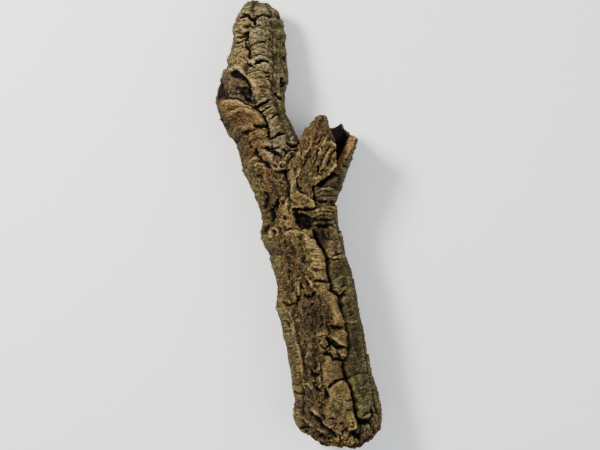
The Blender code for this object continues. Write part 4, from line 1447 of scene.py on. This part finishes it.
class Nodes:
    """Short names for the shader nodes that the material is made of."""

    def __init__(self, name):
        self.material = bpy.data.materials.new(name)
        self.material.use_nodes = True
        self.tree = self.material.node_tree
        self.shader = self.tree.nodes["Principled BSDF"]

    def link(self, value, socket):
        if isinstance(value, (int, float, tuple)):
            socket.default_value = value
        else:
            self.tree.links.new(value, socket)

    def mask(self, key):
        node = self.tree.nodes.new("ShaderNodeAttribute")
        node.attribute_name = key
        return node.outputs["Fac"]

    def noise(self, size, detail=3.0, rough=0.6, stretch=(1, 1, 1), turn=0.0):
        """Noise with features of a size in millimetres, stretched on axes turned in the plan."""
        place = self.tree.nodes.new("ShaderNodeTexCoord")
        scale = self.tree.nodes.new("ShaderNodeMapping")
        scale.vector_type = "TEXTURE"
        scale.inputs["Rotation"].default_value[2] = math.radians(turn)
        scale.inputs["Scale"].default_value = [size * MM * s for s in stretch]
        node = self.tree.nodes.new("ShaderNodeTexNoise")
        node.inputs["Scale"].default_value = 1
        node.inputs["Detail"].default_value = detail
        node.inputs["Roughness"].default_value = rough
        self.link(place.outputs["Object"], scale.inputs["Vector"])
        self.link(scale.outputs["Vector"], node.inputs["Vector"])
        return node.outputs["Fac"]

    def pores(self, size):
        """How far a point is from the nearest pore, in cells of a size in millimetres."""
        place = self.tree.nodes.new("ShaderNodeTexCoord")
        node = self.tree.nodes.new("ShaderNodeTexVoronoi")
        node.inputs["Scale"].default_value = 1 / (size * MM)
        self.link(place.outputs["Object"], node.inputs["Vector"])
        return node.outputs["Distance"]

    def math(self, operation, a, b, clamp=False):
        node = self.tree.nodes.new("ShaderNodeMath")
        node.operation = operation
        node.use_clamp = clamp
        self.link(a, node.inputs[0])
        self.link(b, node.inputs[1])
        return node.outputs[0]

    def plus(self, a, b, clamp=False):
        return self.math("ADD", a, b, clamp)

    def times(self, first, *others):
        for other in others:
            first = self.math("MULTIPLY", first, other)
        return first

    def range(self, value, low, high, to_low=0.0, to_high=1.0):
        node = self.tree.nodes.new("ShaderNodeMapRange")
        node.interpolation_type = "SMOOTHSTEP"
        for socket, number in zip(node.inputs, (value, low, high, to_low, to_high)):
            self.link(number, socket)
        return node.outputs["Result"]

    def blend(self, share, a, b):
        return self.plus(a, self.times(share, self.math("SUBTRACT", b, a)))

    def less(self, key, strength):
        """1 less a mask: what a dark place leaves of the light."""
        return self.math("SUBTRACT", 1.0, self.times(self.mask(key), strength))

    def mix(self, share, a, b):
        node = self.tree.nodes.new("ShaderNodeMix")
        node.data_type = "RGBA"
        self.link(share, node.inputs[0])
        self.link(a, node.inputs[6])
        self.link(b, node.inputs[7])
        return node.outputs[2]


def bark_color(n, patch, speck):
    """Brown and tan bark, with one paint after another laid over it: (share, colour)."""
    blotch = n.noise(30, 3)
    tinge = n.noise(4.5, 4, rough=0.7)

    def speckled(dark, pale, low=0.3, high=0.7):
        return n.mix(n.range(speck, low, high), srgb(*dark), srgb(*pale))

    def patchy(key, noise, *spread):
        return n.times(n.mask(key), n.range(noise, *spread))

    green = n.plus(n.times(n.mask("green"), 0.9), n.range(patch, 0.55, 0.75, 0.0, 0.5), True)
    pale = n.times(patchy("pale", speck, 0.5, 0.66), n.plus(n.mask("crest"), 0.25), 0.45)
    inner = n.mix(n.noise(8, 3), srgb(62, 45, 31), srgb(118, 88, 61))
    # Painted shade: the inner face goes almost black where the dark mask is painted in.
    inner = n.mix(n.mask("dark"), inner, srgb(10, 8, 6))
    color = speckled((78, 62, 34), (140, 115, 70))
    for share, paint in (
        (n.range(blotch, 0.4, 0.6), speckled((92, 76, 44), (160, 137, 88))),
        # Lighter olive tan, in many places painted light on bark that lies in shade.
        (n.mask("upper"), speckled((98, 87, 57), (166, 150, 112))),
        (patchy("rough", patch, 0.3, 0.5, 0.5), speckled((68, 55, 31), (132, 110, 70), 0.32, 0.66)),
        (green, speckled((82, 76, 43), (140, 130, 84))),
        # Golden bark, and in places painted light on the right-hand side and the wide end.
        (patchy("gold", patch, 0.3, 0.55, 0.5), speckled((108, 86, 44), (182, 153, 94))),
        (n.range(tinge, 0.54, 0.68, 0.0, 0.8), srgb(118, 78, 52)),
        (n.range(tinge, 0.45, 0.33, 0.0, 0.75), srgb(98, 96, 48)),
        (n.range(patch, 0.42, 0.3, 0.0, 0.6), srgb(88, 68, 54)),
        (patchy("red", tinge, 0.35, 0.55, 0.2, 0.9), srgb(112, 74, 48)),
        (patchy("mauve", tinge, 0.35, 0.55, 0.2, 0.9), srgb(92, 74, 60)),
        (n.times(n.mask("swollen"), 0.3), srgb(112, 84, 42)),
        # Darker bark, and painted shade by the knot, the cavities and the slab's lower edge.
        (n.times(n.mask("dark"), 0.75), srgb(42, 29, 20)),
        (n.times(n.mask("glint"), 0.65), srgb(194, 168, 116)),
        # Grey-white flakes, strongest where the crests carry their painted highlight, and in places
        # painted light.
        (pale, srgb(188, 178, 160)),
        (n.mask("inner"), inner),
        (n.mask("broken"), speckled((150, 104, 62), (228, 172, 120))),
    ):
        color = n.mix(share, color, paint)
    return color


def bark_light(n, patch, grain):
    """How light the bark is, by its grain, pores and bands, with painted shade in creases and
    hollows and a painted highlight on crests.
    """
    green = n.mask("green")
    pores = n.range(n.plus(n.pores(2.6), n.times(patch, 0.5)), 0.36, 0.56, 0.2, 1.0)
    bands = n.range(n.noise(5, 3, 0.6, stretch=(5, 1, 5)), 0.36, 0.64, 0.75, 1.25)
    return n.times(
        n.range(grain, 0.34, 0.66, 0.32, 1.68),
        n.blend(n.times(green, 0.7), pores, 1.0),
        n.blend(green, 1.0, bands),
        n.less("crease", 0.95),
        n.less("hollow", 0.8),
        n.plus(n.mask("crest"), 0.8),
    )


def bark_material():
    n = Nodes("cork_bark")
    patch = n.noise(11, 4)
    speck = n.noise(2.8, 4, rough=0.7)
    grain = n.noise(1.5, 3, rough=0.75)
    for key, turn in (("upper", -10), ("swollen", -38), ("slab", 59)):
        streaks = n.noise(1.3, 3, 0.75, stretch=(3.8, 1, 1.4), turn=turn)
        grain = n.blend(n.mask(key), grain, streaks)
    shaded = n.tree.nodes.new("ShaderNodeVectorMath")
    shaded.operation = "SCALE"
    n.link(bark_color(n, patch, speck), shaded.inputs[0])
    n.link(bark_light(n, patch, grain), shaded.inputs["Scale"])
    n.link(shaded.outputs[0], n.shader.inputs["Base Color"])
    n.link(0.85, n.shader.inputs["Roughness"])
    n.link(0.1, n.shader.inputs["Specular IOR Level"])
    bump = n.tree.nodes.new("ShaderNodeBump")
    n.link(0.8, bump.inputs["Strength"])
    n.link(0.8 * MM, bump.inputs["Distance"])
    n.link(n.plus(grain, n.noise(0.5, 2)), bump.inputs["Height"])
    n.link(bump.outputs["Normal"], n.shader.inputs["Normal"])
    return n.material


material = bark_material()
for node, piece in pieces.items():
    piece.data.materials.clear()
    piece.data.materials.append(material)
    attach(piece, "root")
    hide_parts(node)

# ---------------------------------------------------------------- floor, lights and camera


TUBE_MIDDLE = 0.05  # metres above the floor


def floor():
    bpy.ops.mesh.primitive_plane_add(size=6)
    plane = bpy.context.active_object
    plane.name = "floor"
    matte = Nodes("floor")
    matte.link((0.86, 0.86, 0.86, 1), matte.shader.inputs["Base Color"])
    matte.link(0.9, matte.shader.inputs["Roughness"])
    plane.data.materials.append(matte.material)


def area_light(name, place, size, power, color):
    light = bpy.data.lights.new(name, "AREA")
    light.size = size
    light.energy = power
    light.color = color
    lamp = bpy.data.objects.new(name, light)
    bpy.context.scene.collection.objects.link(lamp)
    lamp.location = place
    towards = Vector((0, 0, TUBE_MIDDLE)) - Vector(place)
    lamp.rotation_euler = towards.to_track_quat("-Z", "Y").to_euler()


def world(strength):
    sky = bpy.data.worlds.new("sky")
    sky.use_nodes = True
    background = sky.node_tree.nodes["Background"]
    background.inputs["Color"].default_value = (0.95, 0.97, 1.0, 1)
    background.inputs["Strength"].default_value = strength
    bpy.context.scene.world = sky


LEAN = math.radians(11)  # how far the tube is turned in the picture
CAMERA_HEIGHT = 2.45
SENSOR = 36.0
VIEW_WIDTH = 0.75  # metres across the picture, at the tube's middle height

camera_data = bpy.data.cameras.new("camera")
camera_data.sensor_width = SENSOR
camera_data.lens = SENSOR * (CAMERA_HEIGHT - TUBE_MIDDLE) / VIEW_WIDTH
camera = bpy.data.objects.new("camera", camera_data)
bpy.context.scene.collection.objects.link(camera)
camera.location = (*(-PLAN_MIDDLE[:2] * MM), CAMERA_HEIGHT)
camera.rotation_euler = (0, 0, -LEAN)
bpy.context.scene.camera = camera

floor()
area_light("key", (-1.0, 1.0, 1.35), 0.5, 80, (1.0, 0.97, 0.93))
area_light("fill", (1.2, -0.6, 1.6), 1.6, 29, (0.93, 0.96, 1.0))
world(0.75)
